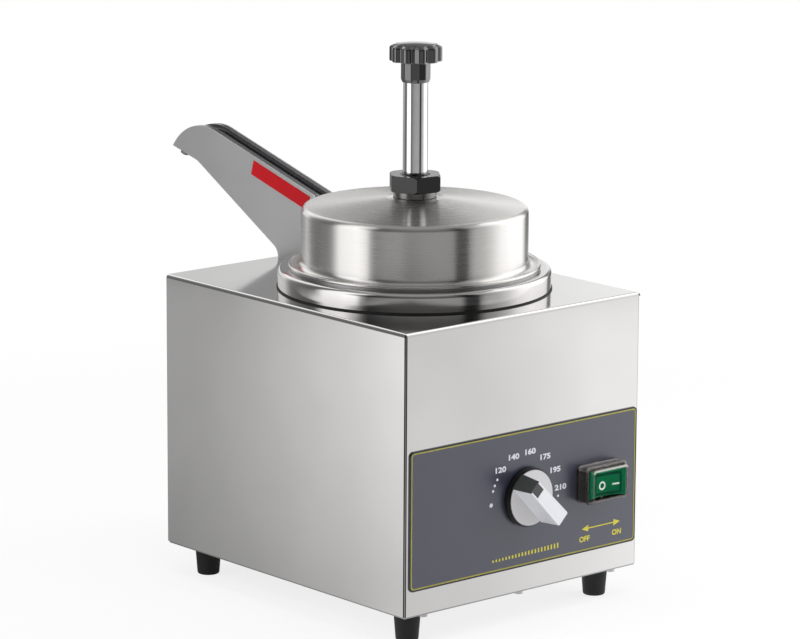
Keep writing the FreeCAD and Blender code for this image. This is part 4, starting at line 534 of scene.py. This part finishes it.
def shapeKnob(s):
    # head: a profile of shares of the radius and heights goes out under it, round its lower edge,
    # up the side, round the rim and over the dome, and once round the axis. Between the lobes a
    # power of a cosine is taken off the radius, fading out towards the middle
    low, high = (corner.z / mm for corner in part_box("plunger_knob"))
    headLow, rimTop = low + s["neckHeight"], high - s["dome"]
    under, rim = np.linspace(0, np.pi / 2, 6), np.linspace(0, np.pi / 2, 8)
    dome = np.linspace(s["domeStart"], 0.0, 22)
    share = np.concatenate([
        np.linspace(s["bore"] / s["radius"], s["underFlat"], 8),
        1 - s["underRound"] / s["radius"] * (1 - np.sin(under)), np.ones(10),
        1 - s["rimRound"] / s["radius"] * (1 - np.cos(rim)), dome])[:, None]
    height = np.concatenate([
        np.full(8, headLow), headLow + s["underRound"] * (1 - np.cos(under)),
        np.linspace(headLow + s["underRound"], rimTop - s["rimRound"], 12)[1:-1],
        rimTop - s["rimRound"] + s["rimRound"] * np.sin(rim),
        rimTop + s["dome"] * (1 - dome ** 2) ** s["domeShape"]])[:, None]
    angle = np.linspace(0, 2 * np.pi, s["segments"], endpoint=False)
    first = math.radians(cameraView["azimuth"] - 90 + s["lobeTurn"])
    wave = ((1 - np.cos(s["lobes"] * (angle - first))) / 2) ** s["fluteShape"]
    radius = share * s["radius"] - s["fluteDepth"] * wave * ramped(share, *s["fluteFade"]) ** 2
    head = pointOutwards(gridMesh("knobHead", roundPump(radius, angle, height), True))
    # neck: a prism, its radius over the cosine of the angle to the middle of each facet, its foot
    # turned to a cone, hollow for the rod. Rows are (radius, height, 1 where it has facets)
    pitch = 2 * np.pi / s["facets"]
    towards = math.radians(cameraView["azimuth"] - 90 + s["facetTurn"])
    local = (angle - towards + pitch / 2) % pitch - pitch / 2
    facet = math.cos(pitch / 2) / np.cos(local) * s["facetReach"]
    out, up = s["tipEase"]
    rows = np.array([(s["bore"], low, 0), (s["neckTip"], low, 0), (s["neckTip"] + out, low + up, 0),
                     (s["neckRadius"], low + s["neckChamfer"], 1),
                     (s["neckRadius"], headLow + up, 1), (s["bore"], headLow + up, 0)])
    radius = np.minimum(rows[:, :1] * np.where(rows[:, 2:] > 0, facet, 1), s["neckRadius"])
    neck = gridMesh("knobNeck", roundPump(radius, angle, rows[:, 1:2]), True, True)
    neck.data.polygons.foreach_set("use_smooth", np.zeros(len(neck.data.polygons), bool))
    return head, pointOutwards(neck)


knobHead, knobNeck = shapeKnob(knobSizes)
finished(knobHead, knobBlack, "plunger", ["plunger_knob"])
finished(knobNeck, knobBlack, "plunger")
print("knob shaped")


# CAD solids whose edges are broken by a small radius, so that they catch the light

def easedCopy(node, name, width, material, body, angle=35, segments=3):
    # a merged copy of the node's mesh, its flat faces made one, with a live bevel of width mm on
    # every edge sharper than the angle
    mesh = nodes[node].data.copy()
    mesh.name = name
    work = bmesh.new()
    work.from_mesh(mesh)
    bmesh.ops.remove_doubles(work, verts=work.verts, dist=2e-6)
    bmesh.ops.dissolve_limit(work, angle_limit=math.radians(0.5), verts=work.verts,
                             edges=work.edges)
    work.to_mesh(mesh)
    work.free()
    if "custom_normal" in mesh.attributes:
        mesh.attributes.remove(mesh.attributes["custom_normal"])
    piece = placed(name, mesh)
    mesh.polygons.foreach_set("use_smooth", np.ones(len(mesh.polygons), bool))
    bevel = piece.modifiers.new("easedEdges", "BEVEL")
    bevel.width, bevel.segments, bevel.limit_method = width * mm, segments, "ANGLE"
    bevel.angle_limit, bevel.harden_normals = math.radians(angle), True
    bevel.use_clamp_overlap = True
    return finished(piece, material, body, [node])


easedCopy("lock_nut", "lockNut", 0.5, nutBlack, "pump_lid", 25)
easedCopy("nut_washer", "nutWasher", 0.4, washerSteel, "pump_lid")
easedCopy("dial_disc", "dialDisc", 0.35, dialSilver, "thermostat_knob")
easedCopy("dial_grip", "dialGripBar", 0.45, dialGrip, "thermostat_knob")
easedCopy("dial_pointer", "dialPointer", 0.25, dialBlack, "thermostat_knob")
easedCopy("dial_skirt", "dialSkirt", 0.3, skirtBlack, "thermostat_knob")
easedCopy("switch_bezel", "switchBezel", 0.5, switchBlack, "base")
easedCopy("spout_housing", "spoutHousing", 0.4, spoutSteel, "base", 40, 2)
easedCopy("spout_trough", "spoutTrough", 0.25, troughSteel, "base", 40, 2)
easedCopy("control_overlay", "controlOverlay", 0.2, overlayPrint, "base", 40, 2)
easedCopy("feet", "rubberFeet", 0.4, footRubber, "base", 40, 2)
print("edges eased")


# return spring inside the pump, which shortens as the plunger goes down; here it is wound once, at
# the CAD spring's length, and stays so

springSizes = {"wire": 0.8, "coil": 11.1, "turns": 10, "stepsPerTurn": 36, "sides": 10,
               "pressed": 0.443}


def windSpring(s):
    # round the axis, a small circle is carried along a helix; the small circle stands square to
    # the helix, on its outward and its upward-leaning directions
    low, high = (corner.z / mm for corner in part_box("return_spring"))
    along = np.linspace(0, 1, s["turns"] * s["stepsPerTurn"] + 1)[:, None]
    turn = 2 * np.pi * s["turns"] * along
    small = np.linspace(0, 2 * np.pi, s["sides"], endpoint=False)[None]
    length = high - low - 2 * s["wire"]
    lean = math.atan2(length / s["turns"], 2 * np.pi * s["coil"])
    wire = np.full(along.shape, s["wire"])
    wire = np.vstack([0 * wire[:1], wire, 0 * wire[:1]])
    turn = np.vstack([turn[:1], turn, turn[-1:]])
    height = np.vstack([along[:1], along, along[-1:]]) * length + low + s["wire"]
    radius = s["coil"] + wire * np.cos(small)
    swing = -wire * np.sin(small) * math.sin(lean)
    points = np.stack([pumpAxis[0] / mm + radius * np.cos(turn) - swing * np.sin(turn),
                       pumpAxis[1] / mm + radius * np.sin(turn) + swing * np.cos(turn),
                       height + wire * np.sin(small) * math.cos(lean)], -1)
    piece = pointOutwards(gridMesh("springCoil", points * mm, True))
    finished(piece, screwSteel, "pump_lid", ["return_spring"])
    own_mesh(piece)


windSpring(springSizes)


# rocker: a see-saw cap with a valley across its middle and long sides that draw in there

rockerSizes = {"halfLength": 16.0, "halfHeight": 10.3, "waist": 1.5, "valley": 12.27, "tilt": 10.0,
               "valleyOffset": -0.59, "underside": 3.2, "pivot": 5.5, "round": 1.1, "blend": 1.0,
               "sections": 61, "sectionPoints": 72, "markOffset": (-4.9, 6.9), "markDrop": 1.1,
               "markLift": 0.12, "ringOuter": 3.05, "ringInner": 1.9, "ringPoints": 48,
               # the dash is a bar round a hole, dashHole of its size, that doesn't show
               "dash": (5.7, 1.15), "dashRound": 0.3, "dashHole": 0.02,
               # the groove is a band of painted shade: (half width, half height, width of the band)
               "groove": (12.1, 7.6, 1.7), "grooveLift": 0.06, "grooveSteps": 24}


def faceProud(s, across):
    # height of the face over the panel: level to the left of the valley, rising to its right
    rise = math.tan(math.radians(s["tilt"]))
    soft = s["blend"]
    along = across - s["valleyOffset"]
    return s["valley"] + rise * (along + np.sqrt(along ** 2 + soft ** 2)) / 2 - rise * soft * 0.25


def leaned(s, across, proud):
    # the cap stands half its travel back from the middle, so its ends lean to the left
    half = math.radians(s["tilt"] / 2)
    return across * math.cos(half) - (proud - s["pivot"]) * math.sin(half)


def shapeRocker(s):
    low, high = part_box("switch_bezel")
    middle = (low + high) / 2 / mm
    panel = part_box("outer_case")[0].y / mm

    def onCap(across, proud, up):
        return np.stack([middle.x + leaned(s, across, proud), panel - proud, middle.z + up],
                        -1) * mm

    # sections from end to end, closer where the sine turns: each is a rounded rectangle, its
    # corner circle pushed out to the quadrants, and it shrinks by a quarter circle at both ends
    share = np.sin(np.linspace(-np.pi / 2, np.pi / 2, s["sections"]))[:, None]
    turn = np.linspace(0, 2 * np.pi, s["sectionPoints"], endpoint=False)
    corner = s["round"]
    across = share * s["halfLength"]
    inside = np.maximum(corner - (s["halfLength"] - np.abs(across)), 0)
    shrink = corner - np.sqrt(np.maximum(corner ** 2 - inside ** 2, 0))
    half = s["halfHeight"] - s["waist"] * (1 - np.abs(share) ** 3) - shrink
    front = faceProud(s, across) - shrink
    back = s["underside"] + math.tan(math.radians(s["tilt"])) * np.maximum(across, 0) + shrink
    up = np.sign(np.sin(turn)) * (half - corner) + corner * np.sin(turn)
    out = np.sign(np.cos(turn)) * ((front - back) / 2 - corner) + corner * np.cos(turn)
    rings = onCap(across, (front + back) / 2 + out, up)
    first, last = (rings[end].mean(0) + 0 * rings[end] for end in (0, -1))
    rings = np.stack([first, (first + rings[0]) / 2, *rings, (last + rings[-1]) / 2, last])
    piece = pointOutwards(gridMesh("rockerCap", rings, True))
    finished(piece, rockerGreen, "switch_rocker", ["rocker"])

    # the marks and the painted shade of the lens's groove lie on the face: each is a closed band
    # between two outlines
    drop, (ringX, dashX), (wide, high, line) = -s["markDrop"], s["markOffset"], s["groove"]
    long, thick = (size / 2 for size in s["dash"])
    bar = rectangle(-long, long, -thick, thick, s["dashRound"], 6)
    corners = np.array([(-1, -1), (1, -1), (1, 1), (-1, 1)])
    sides = np.linspace(corners, np.roll(corners, -1, 0), s["grooveSteps"], endpoint=False,
                        axis=1).reshape(-1, 2)
    rounds = [circle(0, 0, s[size], s["ringPoints"]) for size in ("ringOuter", "ringInner")]
    for name, x, z, outer, inner, lift, finish in (
            ("ringMark", ringX, drop, *rounds, s["markLift"], inkMint),
            ("dashMark", dashX, drop, bar, bar * s["dashHole"], s["markLift"], inkMint),
            # the groove round the lens is a flat band of painted shade
            ("lensGrooveShade", 0, 0, sides * (wide, high), sides * (wide - line, high - line),
             s["grooveLift"], grooveShadeGreen)):
        flat = np.array([outer, inner, inner, outer])
        across = x + flat[..., 0]
        proud = faceProud(s, across) + np.array([lift, lift, 0.0, 0.0])[:, None]
        mark = gridMesh(name, onCap(across, proud, z + flat[..., 1]), True, True)
        finished(pointOutwards(mark), finish, "switch_rocker")


shapeRocker(rockerSizes)


# splash boot: rounded rectangles that shrink towards a flat top, walled by Solidify

# besides sizes in mm, one share sets how strong the pale painted highlight on the edges is
bootSizes = {"width": 39.0, "height": 26.6, "topWidth": 34.0, "topHeight": 23.4, "corner": 3.2,
             "waist": 11.0, "wall": 0.9, "topRound": 2.0, "topCorner": 0.6, "foot": 0.8,
             "bead": 0.5, "beadFrom": (2.2, 2.6), "beadTo": (1.2, 0.6), "paintedSheen": 0.42,
             "points": 160}


def shapeBoot(s):
    # rows of (distance from the panel, width, height, corner, strength of the painted highlight):
    # up the flank with its bead, tapering to the shoulder, round it by a quarter circle and in over
    # the flat top
    low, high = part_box("switch_boot")
    middle, depth = (low + high) / 2 / mm, (high.y - low.y) / mm
    waist, shoulder, bend = s["waist"] - s["foot"], depth - s["topRound"], s["topRound"]
    base = np.array([s["width"], s["height"]])
    top = np.array([s["topWidth"], s["topHeight"]])
    rows = [(out, *(base - 2 * draw), s["corner"], paintedSheen) for out, draw, paintedSheen in (
        (0, 0, 0), (s["beadFrom"][0], 0, 0.2), (s["beadFrom"][1], s["bead"], 0.4),
        (waist - s["beadTo"][0], s["bead"], 0.2), (waist - s["beadTo"][1], 0, 0.3),
        (waist, 0, 0.9))]
    rows += [(waist + (shoulder - waist) * share, *(base + (top - base) * share), s["corner"],
              paintedSheen) for share, paintedSheen in ((0.08, 0.3), (0.5, 0), (1.0, 0.1))]
    for turn in np.linspace(0, np.pi / 2, 8)[1:]:
        inset = bend * (1 - np.cos(turn))
        rows.append((shoulder + bend * np.sin(turn), *(top - 2 * inset), s["corner"] - inset,
                     np.sin(2 * turn) ** 2))
    rows += [(depth, *((top - 2 * bend) * share), s["topCorner"] * share, 0)
             for share in (0.97, 0.8, 0.5, 0.2, 0.0)]
    out, width, height, corner, paintedSheen = np.array(rows).T[..., None]
    # rounded rectangle: the corner circle is pushed out to each quadrant's corner
    angle = np.linspace(0, 2 * np.pi, s["points"], endpoint=False)
    across = np.sign(np.cos(angle)) * (width / 2 - corner) + corner * np.cos(angle)
    along = np.sign(np.sin(angle)) * (height / 2 - corner) + corner * np.sin(angle)
    piece = gridMesh("splashBoot", np.stack([
        middle.x + across, high.y / mm - out + 0 * across, middle.z + along], -1) * mm, True)
    # painted highlight: the pale edges are painted strongest on the upper half, which catches the
    # light
    upper = 0.15 + 0.85 * np.clip(np.sin(angle) * 2, 0, 1)
    layer = piece.data.attributes.new("paintedSheen", "FLOAT", "POINT")
    layer.data.foreach_set("value", (paintedSheen * upper).reshape(-1).astype(np.float32) * s["paintedSheen"])
    pointOutwards(piece)
    wall = piece.modifiers.new("wall", "SOLIDIFY")
    wall.thickness, wall.offset = s["wall"] * mm, -1
    # light reaches the rocker through the clear wall
    piece.visible_shadow = False
    return piece


finished(shapeBoot(bootSizes), bootClear, "base", ["switch_boot"])
print("switch shaped")


# print on the overlay: gold line, dial scale, marks of the switch

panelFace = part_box("control_overlay")[0].y
dialLow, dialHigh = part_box("dial_skirt")
dialCentre = ((dialLow + dialHigh) / 2 / mm)
inkSizes = {
    # off the plate, thickness, and how far the back fills the lift
    "lift": 0.06, "thick": 0.05, "fill": 0.9,
    # (inset from the plate's edge, corner) of each line's outer and inner outline
    "goldLoops": ((1.25, 2.6), (2.2, 2.2)), "edgeLoops": ((0.1, 3.4), (1.0, 3.2)),
    # (number, degrees clockwise from straight up, radius), (degrees, ring radius, dot radius)
    "numbers": [("120", -43.4, 32.7), ("140", -18.5, 32.7), ("160", 8.5, 32.7),
                ("175", 35.5, 32.7), ("195", 61.0, 32.7), ("210", 85.6, 34.2)],
    "dots": [(-54.9, 30.5, 0.95), (-63.4, 30.5, 0.95), (-70.8, 30.5, 0.95), (-89.2, 30.5, 1.5),
             (95.6, 32.0, 0.95)],
    "numberSize": 5.3, "numberStretch": 1.36, "markSize": 5.2, "markStretch": 1.08,
    "letterDepth": 0.03, "letterWeight": 0.2, "letterLift": 0.05,
    # the scale's middle from the dial's, (right, up)
    "shift": (-2.3, -1.4),
    # heights are over the case's bottom. Arrow: (left, right, height), its head: (length, half
    # its height, half the line's), and the x of OFF, the x of ON and their height
    "arrow": (54.4, 91.0, 34.8), "arrowHead": (6.2, 2.4, 0.4), "marks": (57.1, 88.0, 27.4),
    # row of ticks: (left, right, height, count, width, tallest), and the first as a share
    "ticks": (-29.4, 32.3, 27.5, 21, 1.3, 3.6), "firstTick": 0.45,
}


def inkPlate(name, outline, material):
    # a flat print: the outline (x, z in mm) lifted off the panel by a hair, with a real thickness
    lift, thick = inkSizes["lift"] * mm, inkSizes["thick"] * mm
    flat = np.array(outline, float) * mm
    count = len(flat)
    front = np.stack([flat[:, 0], np.full(count, panelFace - lift - thick), flat[:, 1]], -1)
    back = front + np.array([0, thick + lift * inkSizes["fill"], 0])
    sides = [(i, (i + 1) % count, count + (i + 1) % count, count + i) for i in range(count)]
    mesh = bpy.data.meshes.new(name)
    mesh.from_pydata(np.vstack([front, back]).tolist(), [],
                     [tuple(range(count)), tuple(range(2 * count - 1, count - 1, -1))] + sides)
    return finished(pointOutwards(placed(name, mesh)), material, "base")


def printFrame(s):
    # each closed line joins two rounded outlines of the plate and is thickened by Solidify
    low, high = (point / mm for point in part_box("control_overlay"))
    for name, loops, ink in (("goldLine", s["goldLoops"], inkGold),
                             ("edgeLine", s["edgeLoops"], inkBlack)):
        flat = mm * np.array([rectangle(low.x + inset, high.x - inset, low.z + inset,
                                        high.z - inset, corner) for inset, corner in loops])
        face = np.full(flat.shape[:2], panelFace - s["lift"] * mm)
        piece = gridMesh(name, np.stack([flat[..., 0], face, flat[..., 1]], -1), True)
        wall = piece.modifiers.new("ink", "SOLIDIFY")
        wall.thickness, wall.offset = s["thick"] * mm, 0
        finished(piece, ink, "base")


def printText(text, x, z, size, stretch, material, name):
    # a line of text, made a mesh, stood upright and widened by stretch
    s = inkSizes
    curve = bpy.data.curves.new(name, "FONT")
    curve.body, curve.size, curve.align_x, curve.align_y = text, size * mm, "CENTER", "CENTER"
    curve.extrude, curve.offset = s["letterDepth"] * mm, s["letterWeight"] * mm
    curve.resolution_u = 4
    words = placed(name, curve)
    bpy.context.view_layer.update()
    mesh = bpy.data.meshes.new_from_object(words)
    bpy.data.objects.remove(words)
    mesh.transform(Matrix.Translation((x * mm, panelFace - s["letterLift"] * mm, z * mm))
                   @ Matrix.Rotation(math.radians(90), 4, "X")
                   @ Matrix.Scale(stretch, 4, (1, 0, 0)))
    return finished(placed(name, mesh), material, "base")


def printDial(s):
    def spot(degrees, radius):
        turn = math.radians(degrees)
        return (dialCentre.x + s["shift"][0] + radius * math.sin(turn),
                dialCentre.z + s["shift"][1] + radius * math.cos(turn))

    for text, degrees, radius in s["numbers"]:
        printText(text, *spot(degrees, radius), s["numberSize"], s["numberStretch"], inkWhite,
                  "scale" + text)
    for order, (degrees, radius, dot) in enumerate(s["dots"]):
        inkPlate("scaleDot%d" % order, circle(*spot(degrees, radius), dot), inkWhite)


def printSwitchMarks(s):
    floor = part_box("bottom_plate")[0].z / mm
    left, right, z = s["arrow"]
    z += floor
    long, half, line = s["arrowHead"]
    inkPlate("switchArrow", [(left, z), (left + long, z + half), (left + long, z + line),
                             (right - long, z + line), (right - long, z + half), (right, z),
                             (right - long, z - half), (right - long, z - line),
                             (left + long, z - line), (left + long, z - half)], inkYellow)
    offX, onX, markZ = s["marks"]
    for text, x, name in (("OFF", offX, "markOff"), ("ON", onX, "markOn")):
        printText(text, x, floor + markZ, s["markSize"], s["markStretch"], inkYellow, name)
    # a plain row of scale marks, growing to the right
    left, right, middle, count, width, tallest = s["ticks"]
    foot = floor + middle - tallest / 2
    for order, x in enumerate(np.linspace(left, right - width, count)):
        top = foot + tallest * (s["firstTick"] + (1 - s["firstTick"]) * order / (count - 1))
        inkPlate("heatTick%d" % order, [(x, foot), (x + width, foot), (x + width, top), (x, top)],
                 inkYellow)


printFrame(inkSizes)
printDial(inkSizes)
printSwitchMarks(inkSizes)
print("overlay printed")


# finishes of the CAD nodes that show as they are, or stay inside

plainNodes = [
    (caseSteel, "outer_case"), (panelSteel, "rear_panel"),
    (innerSteel, "bottom_plate corner_angles well heater_clamp inset_jar pump_head pump_cylinder "
                 "thermostat_bracket bulb_clip"),
    (screwSteel, "case_screws foot_screws collar_studs heater_studs stop_pin intake_ball "
                 "outlet_ball tube_nut spout_screws dial_shaft rocker_pin"),
    (heaterMetal, "plate_heater"), (tubeSteel, "discharge_tube"), (rodChrome, "plunger_rod"),
    (copperTube, "thermostat_bulb capillary_tube"), (brassStud, "earth_stud"),
    (gasketRubber, "collar_gasket cord_gland"),
    (sealSilicone, "tube_grommet piston_seal spout_heater"),
    (whiteAcetal, "rod_bushing valve_body piston thermostat_body terminal_block"),
    (switchBlack, "high_limit switch_body"), (insulationWool, "well_insulation"),
    (wireJacket, "inner_wires"), (labelRed, "spout_label"),
]
for material, names in plainNodes:
    for node in names.split():
        nodes[node].data.materials.clear()
        nodes[node].data.materials.append(material)
print("finishes given")


# floor, studio and lamps

studio = {
    "floorHalf": 8.0, "floorColour": "#f4f4f4", "floorWhite": 0.8, "shadowReach": (0.3, 0.9),
    "wallRadius": 1.7, "cardLift": 0.0005, "ambient": 0.45, "overheadGlow": 0.42,
    "aimHeight": 0.18, "directions": 480, "radii": 70,
    # what polished metal sees round it: (degrees from the camera, clockwise from above, level)
    "surround": [(-180, 0.80), (-173, 0.74), (-166, 0.80), (-150, 1.0), (-138, 1.0), (-124, 0.32),
                 (-112, 0.22), (-95, 0.16), (-88, 0.2), (-83, 0.75), (-78, 1.5), (-56, 1.7),
                 (-46, 1.2), (-41, 0.35), (-36, 0.09), (-25, 0.18), (-10, 0.25), (10, 0.28),
                 (22, 0.28), (37, 0.26), (41, 0.1), (42.5, 0.03), (52, 0.03), (55, 0.2),
                 (60, 0.42), (70, 0.6), (81, 0.9), (93, 1.5), (109, 1.8), (132, 1.6), (141, 1.4),
                 (146, 0.3), (158, 0.3), (163, 1.0), (170, 1.1), (175, 0.95), (180, 0.80)],
    # how the wall changes with height, (height, share): behind the object, in the middle of that
    # stretch, and behind the camera. Each comes in between the two angles named for it
    "backTurn": (132, 146), "foreTurn": (60, 45), "fanTurn": (166, 172),
    "backHeights": [(0.0, 0.3), (0.12, 0.35), (0.24, 1.0), (0.35, 1.2), (0.5, 1.0), (0.68, 1.0),
                    (0.8, 1.4), (2.6, 1.4)],
    "fanHeights": [(0.0, 1.0), (0.68, 1.0), (0.8, 0.2), (2.0, 0.15), (2.6, 0.25)],
    "frontHeights": [(0.0, 1.6), (0.35, 1.2), (0.5, 0.34), (0.9, 0.36), (1.3, 0.7), (2.6, 1.0)],
    # the floor that the two flat sides see: (metres across the line of sight, level)
    "leftFloor": [(-0.30, 1.22), (-0.197, 1.16), (-0.16, 0.92), (-0.128, 0.85), (-0.0965, 0.71),
                  (-0.065, 0.62), (-0.03, 0.51), (0.1, 0.46)],
    "leftNear": [(0.15, 0.66), (0.3, 0.78), (0.55, 0.93), (0.8, 1.0)],
    "frontFloor": [(-0.30, 0.78), (-0.198, 0.82), (-0.12, 0.94), (-0.06, 1.08), (-0.03, 1.2),
                   (0.1, 1.3)],
    # in metres: half the stretch where the two sides' floors meet, how far out the near floor
    # gives way to the far one, where the far one takes the wall's own level, and where the dark
    # cards begin, further out than the floor that the flat sides show at their feet
    "sideBlend": 0.05, "floorBlend": (1.16, 1.26), "farFloor": (1.3, 1.5),
    "cardReach": (0.5, 0.75),
    "floorCard": [(-142, 1.0), (-134, 0.3), (-112, 0.5), (-102, 1.0), (-46, 1.0), (-40, 0.3),
                  (-28, 0.6), (10, 0.7), (38, 0.7), (43, 0.1), (52, 0.1), (55, 0.9), (62, 1.2),
                  (72, 1.0), (136, 1.0), (141, 0.3), (150, 0.3), (156, 1.0)],
    # (name, degrees, elevation, distance, size, power)
    "lamps": [("keyLeft", -64, 30, 1.9, 1.0, 16.0), ("fillRight", 98, 25, 1.0, 0.6, 6.2),
              ("overhead", 20, 78, 1.9, 1.3, 12.0)],
}


def directRays(tree):
    # 1 for rays straight from the camera, through clear walls too
    rays = addNode(tree, "ShaderNodeLightPath")
    seen = addNode(tree, "ShaderNodeMath", {"operation": "MAXIMUM"}, {
        0: rays.outputs["Is Camera Ray"], 1: rays.outputs["Is Transmission Ray"]})
    return rays, seen.outputs[0]


def layFloor(s):
    half = s["floorHalf"]
    mesh = bpy.data.meshes.new("studioFloor")
    mesh.from_pydata([(-half, -half, 0), (half, -half, 0), (half, half, 0), (-half, half, 0)], [],
                     [(0, 1, 2, 3)])
    floor = placed("studioFloor", mesh)
    material, tree = blankMaterial("palePaperFloor")
    seen = directRays(tree)[1]
    paper = addNode(tree, "ShaderNodeBsdfDiffuse", inputs={"Color": linear(s["floorColour"])})
    white = addNode(tree, "ShaderNodeEmission", inputs={"Color": grey(1.0), "Strength": 1.0})
    # the paper shows its shadow near the object and fades to plain white further out
    place = addNode(tree, "ShaderNodeTexCoord")
    reach = addNode(tree, "ShaderNodeVectorMath", {"operation": "LENGTH"},
                    {0: place.outputs["Object"]})
    near, far = s["shadowReach"]
    fade = addNode(tree, "ShaderNodeMapRange", {"interpolation_type": "SMOOTHSTEP"}, {
        "Value": reach.outputs["Value"], "From Min": near, "From Max": far,
        "To Min": s["floorWhite"], "To Max": 1.0})
    share = addNode(tree, "ShaderNodeMath", {"operation": "MULTIPLY"}, {
        0: seen, 1: fade.outputs["Result"]})
    closeMaterial(tree, addNode(tree, "ShaderNodeMixShader", inputs={
        0: share.outputs[0], 1: paper.outputs[0], 2: white.outputs[0]}))
    mesh.materials.append(material)
    floor.visible_glossy = False


def cardMaterial():
    material, tree = blankMaterial("studioCards")
    card = addNode(tree, "ShaderNodeVertexColor", {"layer_name": "cards"})
    closeMaterial(tree, addNode(tree, "ShaderNodeEmission", inputs={
        "Color": card.outputs["Color"], "Strength": 1.0}))
    return material


def glossyCard(name, points, level, material, closed=False):
    # paper that only reflections see, its brightness held by each point
    card = gridMesh(name, points, True, closed)
    colours = np.repeat(level.reshape(-1, 1), 4, 1)
    colours[:, 3] = 1
    layer = card.data.color_attributes.new("cards", "FLOAT_COLOR", "POINT")
    layer.data.foreach_set("color", colours.reshape(-1).astype(np.float32))
    card.data.materials.append(material)
    for kind in ("camera", "diffuse", "shadow", "transmission", "volume_scatter"):
        setattr(card, "visible_" + kind, False)


def readTable(table, at):
    return np.interp(at, *zip(*table))


def raiseSurround(s):
    # bright and dark stretches round the set give the steel its bands, as a photographer's white
    # and black cards do: a wall, and the floor inside it
    degrees = np.linspace(-180, 180, s["directions"], endpoint=False)
    angle = np.radians(degrees + cameraView["azimuth"] - 90)
    ring = np.stack([np.cos(angle), np.sin(angle)], -1)
    level = readTable(s["surround"], degrees)
    material = cardMaterial()

    heights = np.array([0.0, 0.06, 0.12, 0.24, 0.35, 0.42, 0.5, 0.6, 0.68, 0.8, 0.9, 1.1, 1.3, 2.0,
                        2.6])[:, None]
    away = np.abs(degrees)
    back, fore, fan = (ramped(away, *s[key]) for key in ("backTurn", "foreTurn", "fanTurn"))
    tall = (1 - back - fore + back * readTable(s["backHeights"], heights)
            + fore * readTable(s["frontHeights"], heights))
    tall *= 1 - fan + fan * readTable(s["fanHeights"], heights)
    wall = [np.column_stack([ring * s["wallRadius"], np.full(len(ring), z)])
            for z in heights[:, 0]]
    glossyCard("reflectedWall", np.stack(wall), level * tall, material)

    radii = np.linspace(0.0, s["wallRadius"], s["radii"])[:, None]
    spots = ring * radii[..., None]
    view = math.radians(cameraView["azimuth"])
    # line of sight mirrored in the two sides runs along (-sin, -cos), and across is square to it
    across = spots[..., 0] * math.cos(view) - spots[..., 1] * math.sin(view)
    along = -spots[..., 0] * math.sin(view) - spots[..., 1] * math.cos(view)
    left = readTable(s["leftFloor"], across) * readTable(s["leftNear"], radii)
    front = readTable(s["frontFloor"], across)
    side = ramped(along, -s["sideBlend"], s["sideBlend"])
    card = 1 - (1 - readTable(s["floorCard"], degrees)) * ramped(radii, *s["cardReach"])
    near = (front * side + left * (1 - side)) * card
    blend, further = ramped(radii, *s["floorBlend"]), ramped(radii, *s["farFloor"])
    shade = (fore + (1 - fore) * (back > 0)) * further + back * (1 - further)
    far = level * (1 - shade + shade * tall[:1])
    floor = np.concatenate([spots, np.full(spots.shape[:2] + (1,), s["cardLift"])], -1)
    glossyCard("reflectedFloor", floor, near * (1 - blend) + far * blend, material)


def hangLamp(name, degrees, elevation, distance, size, power):
    # degrees from the camera, clockwise from above, and it looks at the object
    turn = math.radians(cameraView["azimuth"] - 90 + degrees)
    lift = math.radians(elevation)
    away = Vector((math.cos(turn) * math.cos(lift), math.sin(turn) * math.cos(lift),
                   math.sin(lift)))
    data = bpy.data.lights.new(name, "AREA")
    data.shape, data.size, data.energy = "SQUARE", size, power
    lamp = placed(name, data)
    lamp.location = away * distance + Vector((0, pumpAxis[1], studio["aimHeight"]))
    lamp.rotation_euler = (-away).to_track_quat("-Z", "Y").to_euler()
    lamp.visible_glossy = False


def paintWorld(s):
    world = bpy.data.worlds.new("studioWorld")
    world.use_nodes = True
    bpy.context.scene.world = world
    tree = world.node_tree
    tree.nodes.clear()
    rays, direct = directRays(tree)
    seen = addNode(tree, "ShaderNodeMath", {"operation": "MAXIMUM"}, {
        0: direct, 1: rays.outputs["Is Glossy Ray"]})
    ambient = addNode(tree, "ShaderNodeBackground", inputs={
        "Color": grey(1.0), "Strength": s["ambient"]})
    level = addNode(tree, "ShaderNodeMapRange", inputs={
        "Value": rays.outputs["Is Glossy Ray"], "To Min": 1.0, "To Max": s["overheadGlow"]})
    white = addNode(tree, "ShaderNodeBackground", inputs={
        "Color": grey(1.0), "Strength": level.outputs["Result"]})
    mixed = addNode(tree, "ShaderNodeMixShader", inputs={
        0: seen.outputs[0], 1: ambient.outputs[0], 2: white.outputs[0]})
    addNode(tree, "ShaderNodeOutputWorld", inputs={"Surface": mixed.outputs[0]})


layFloor(studio)
raiseSurround(studio)
for lamp in studio["lamps"]:
    hangLamp(*lamp)
paintWorld(studio)
print("studio lit")
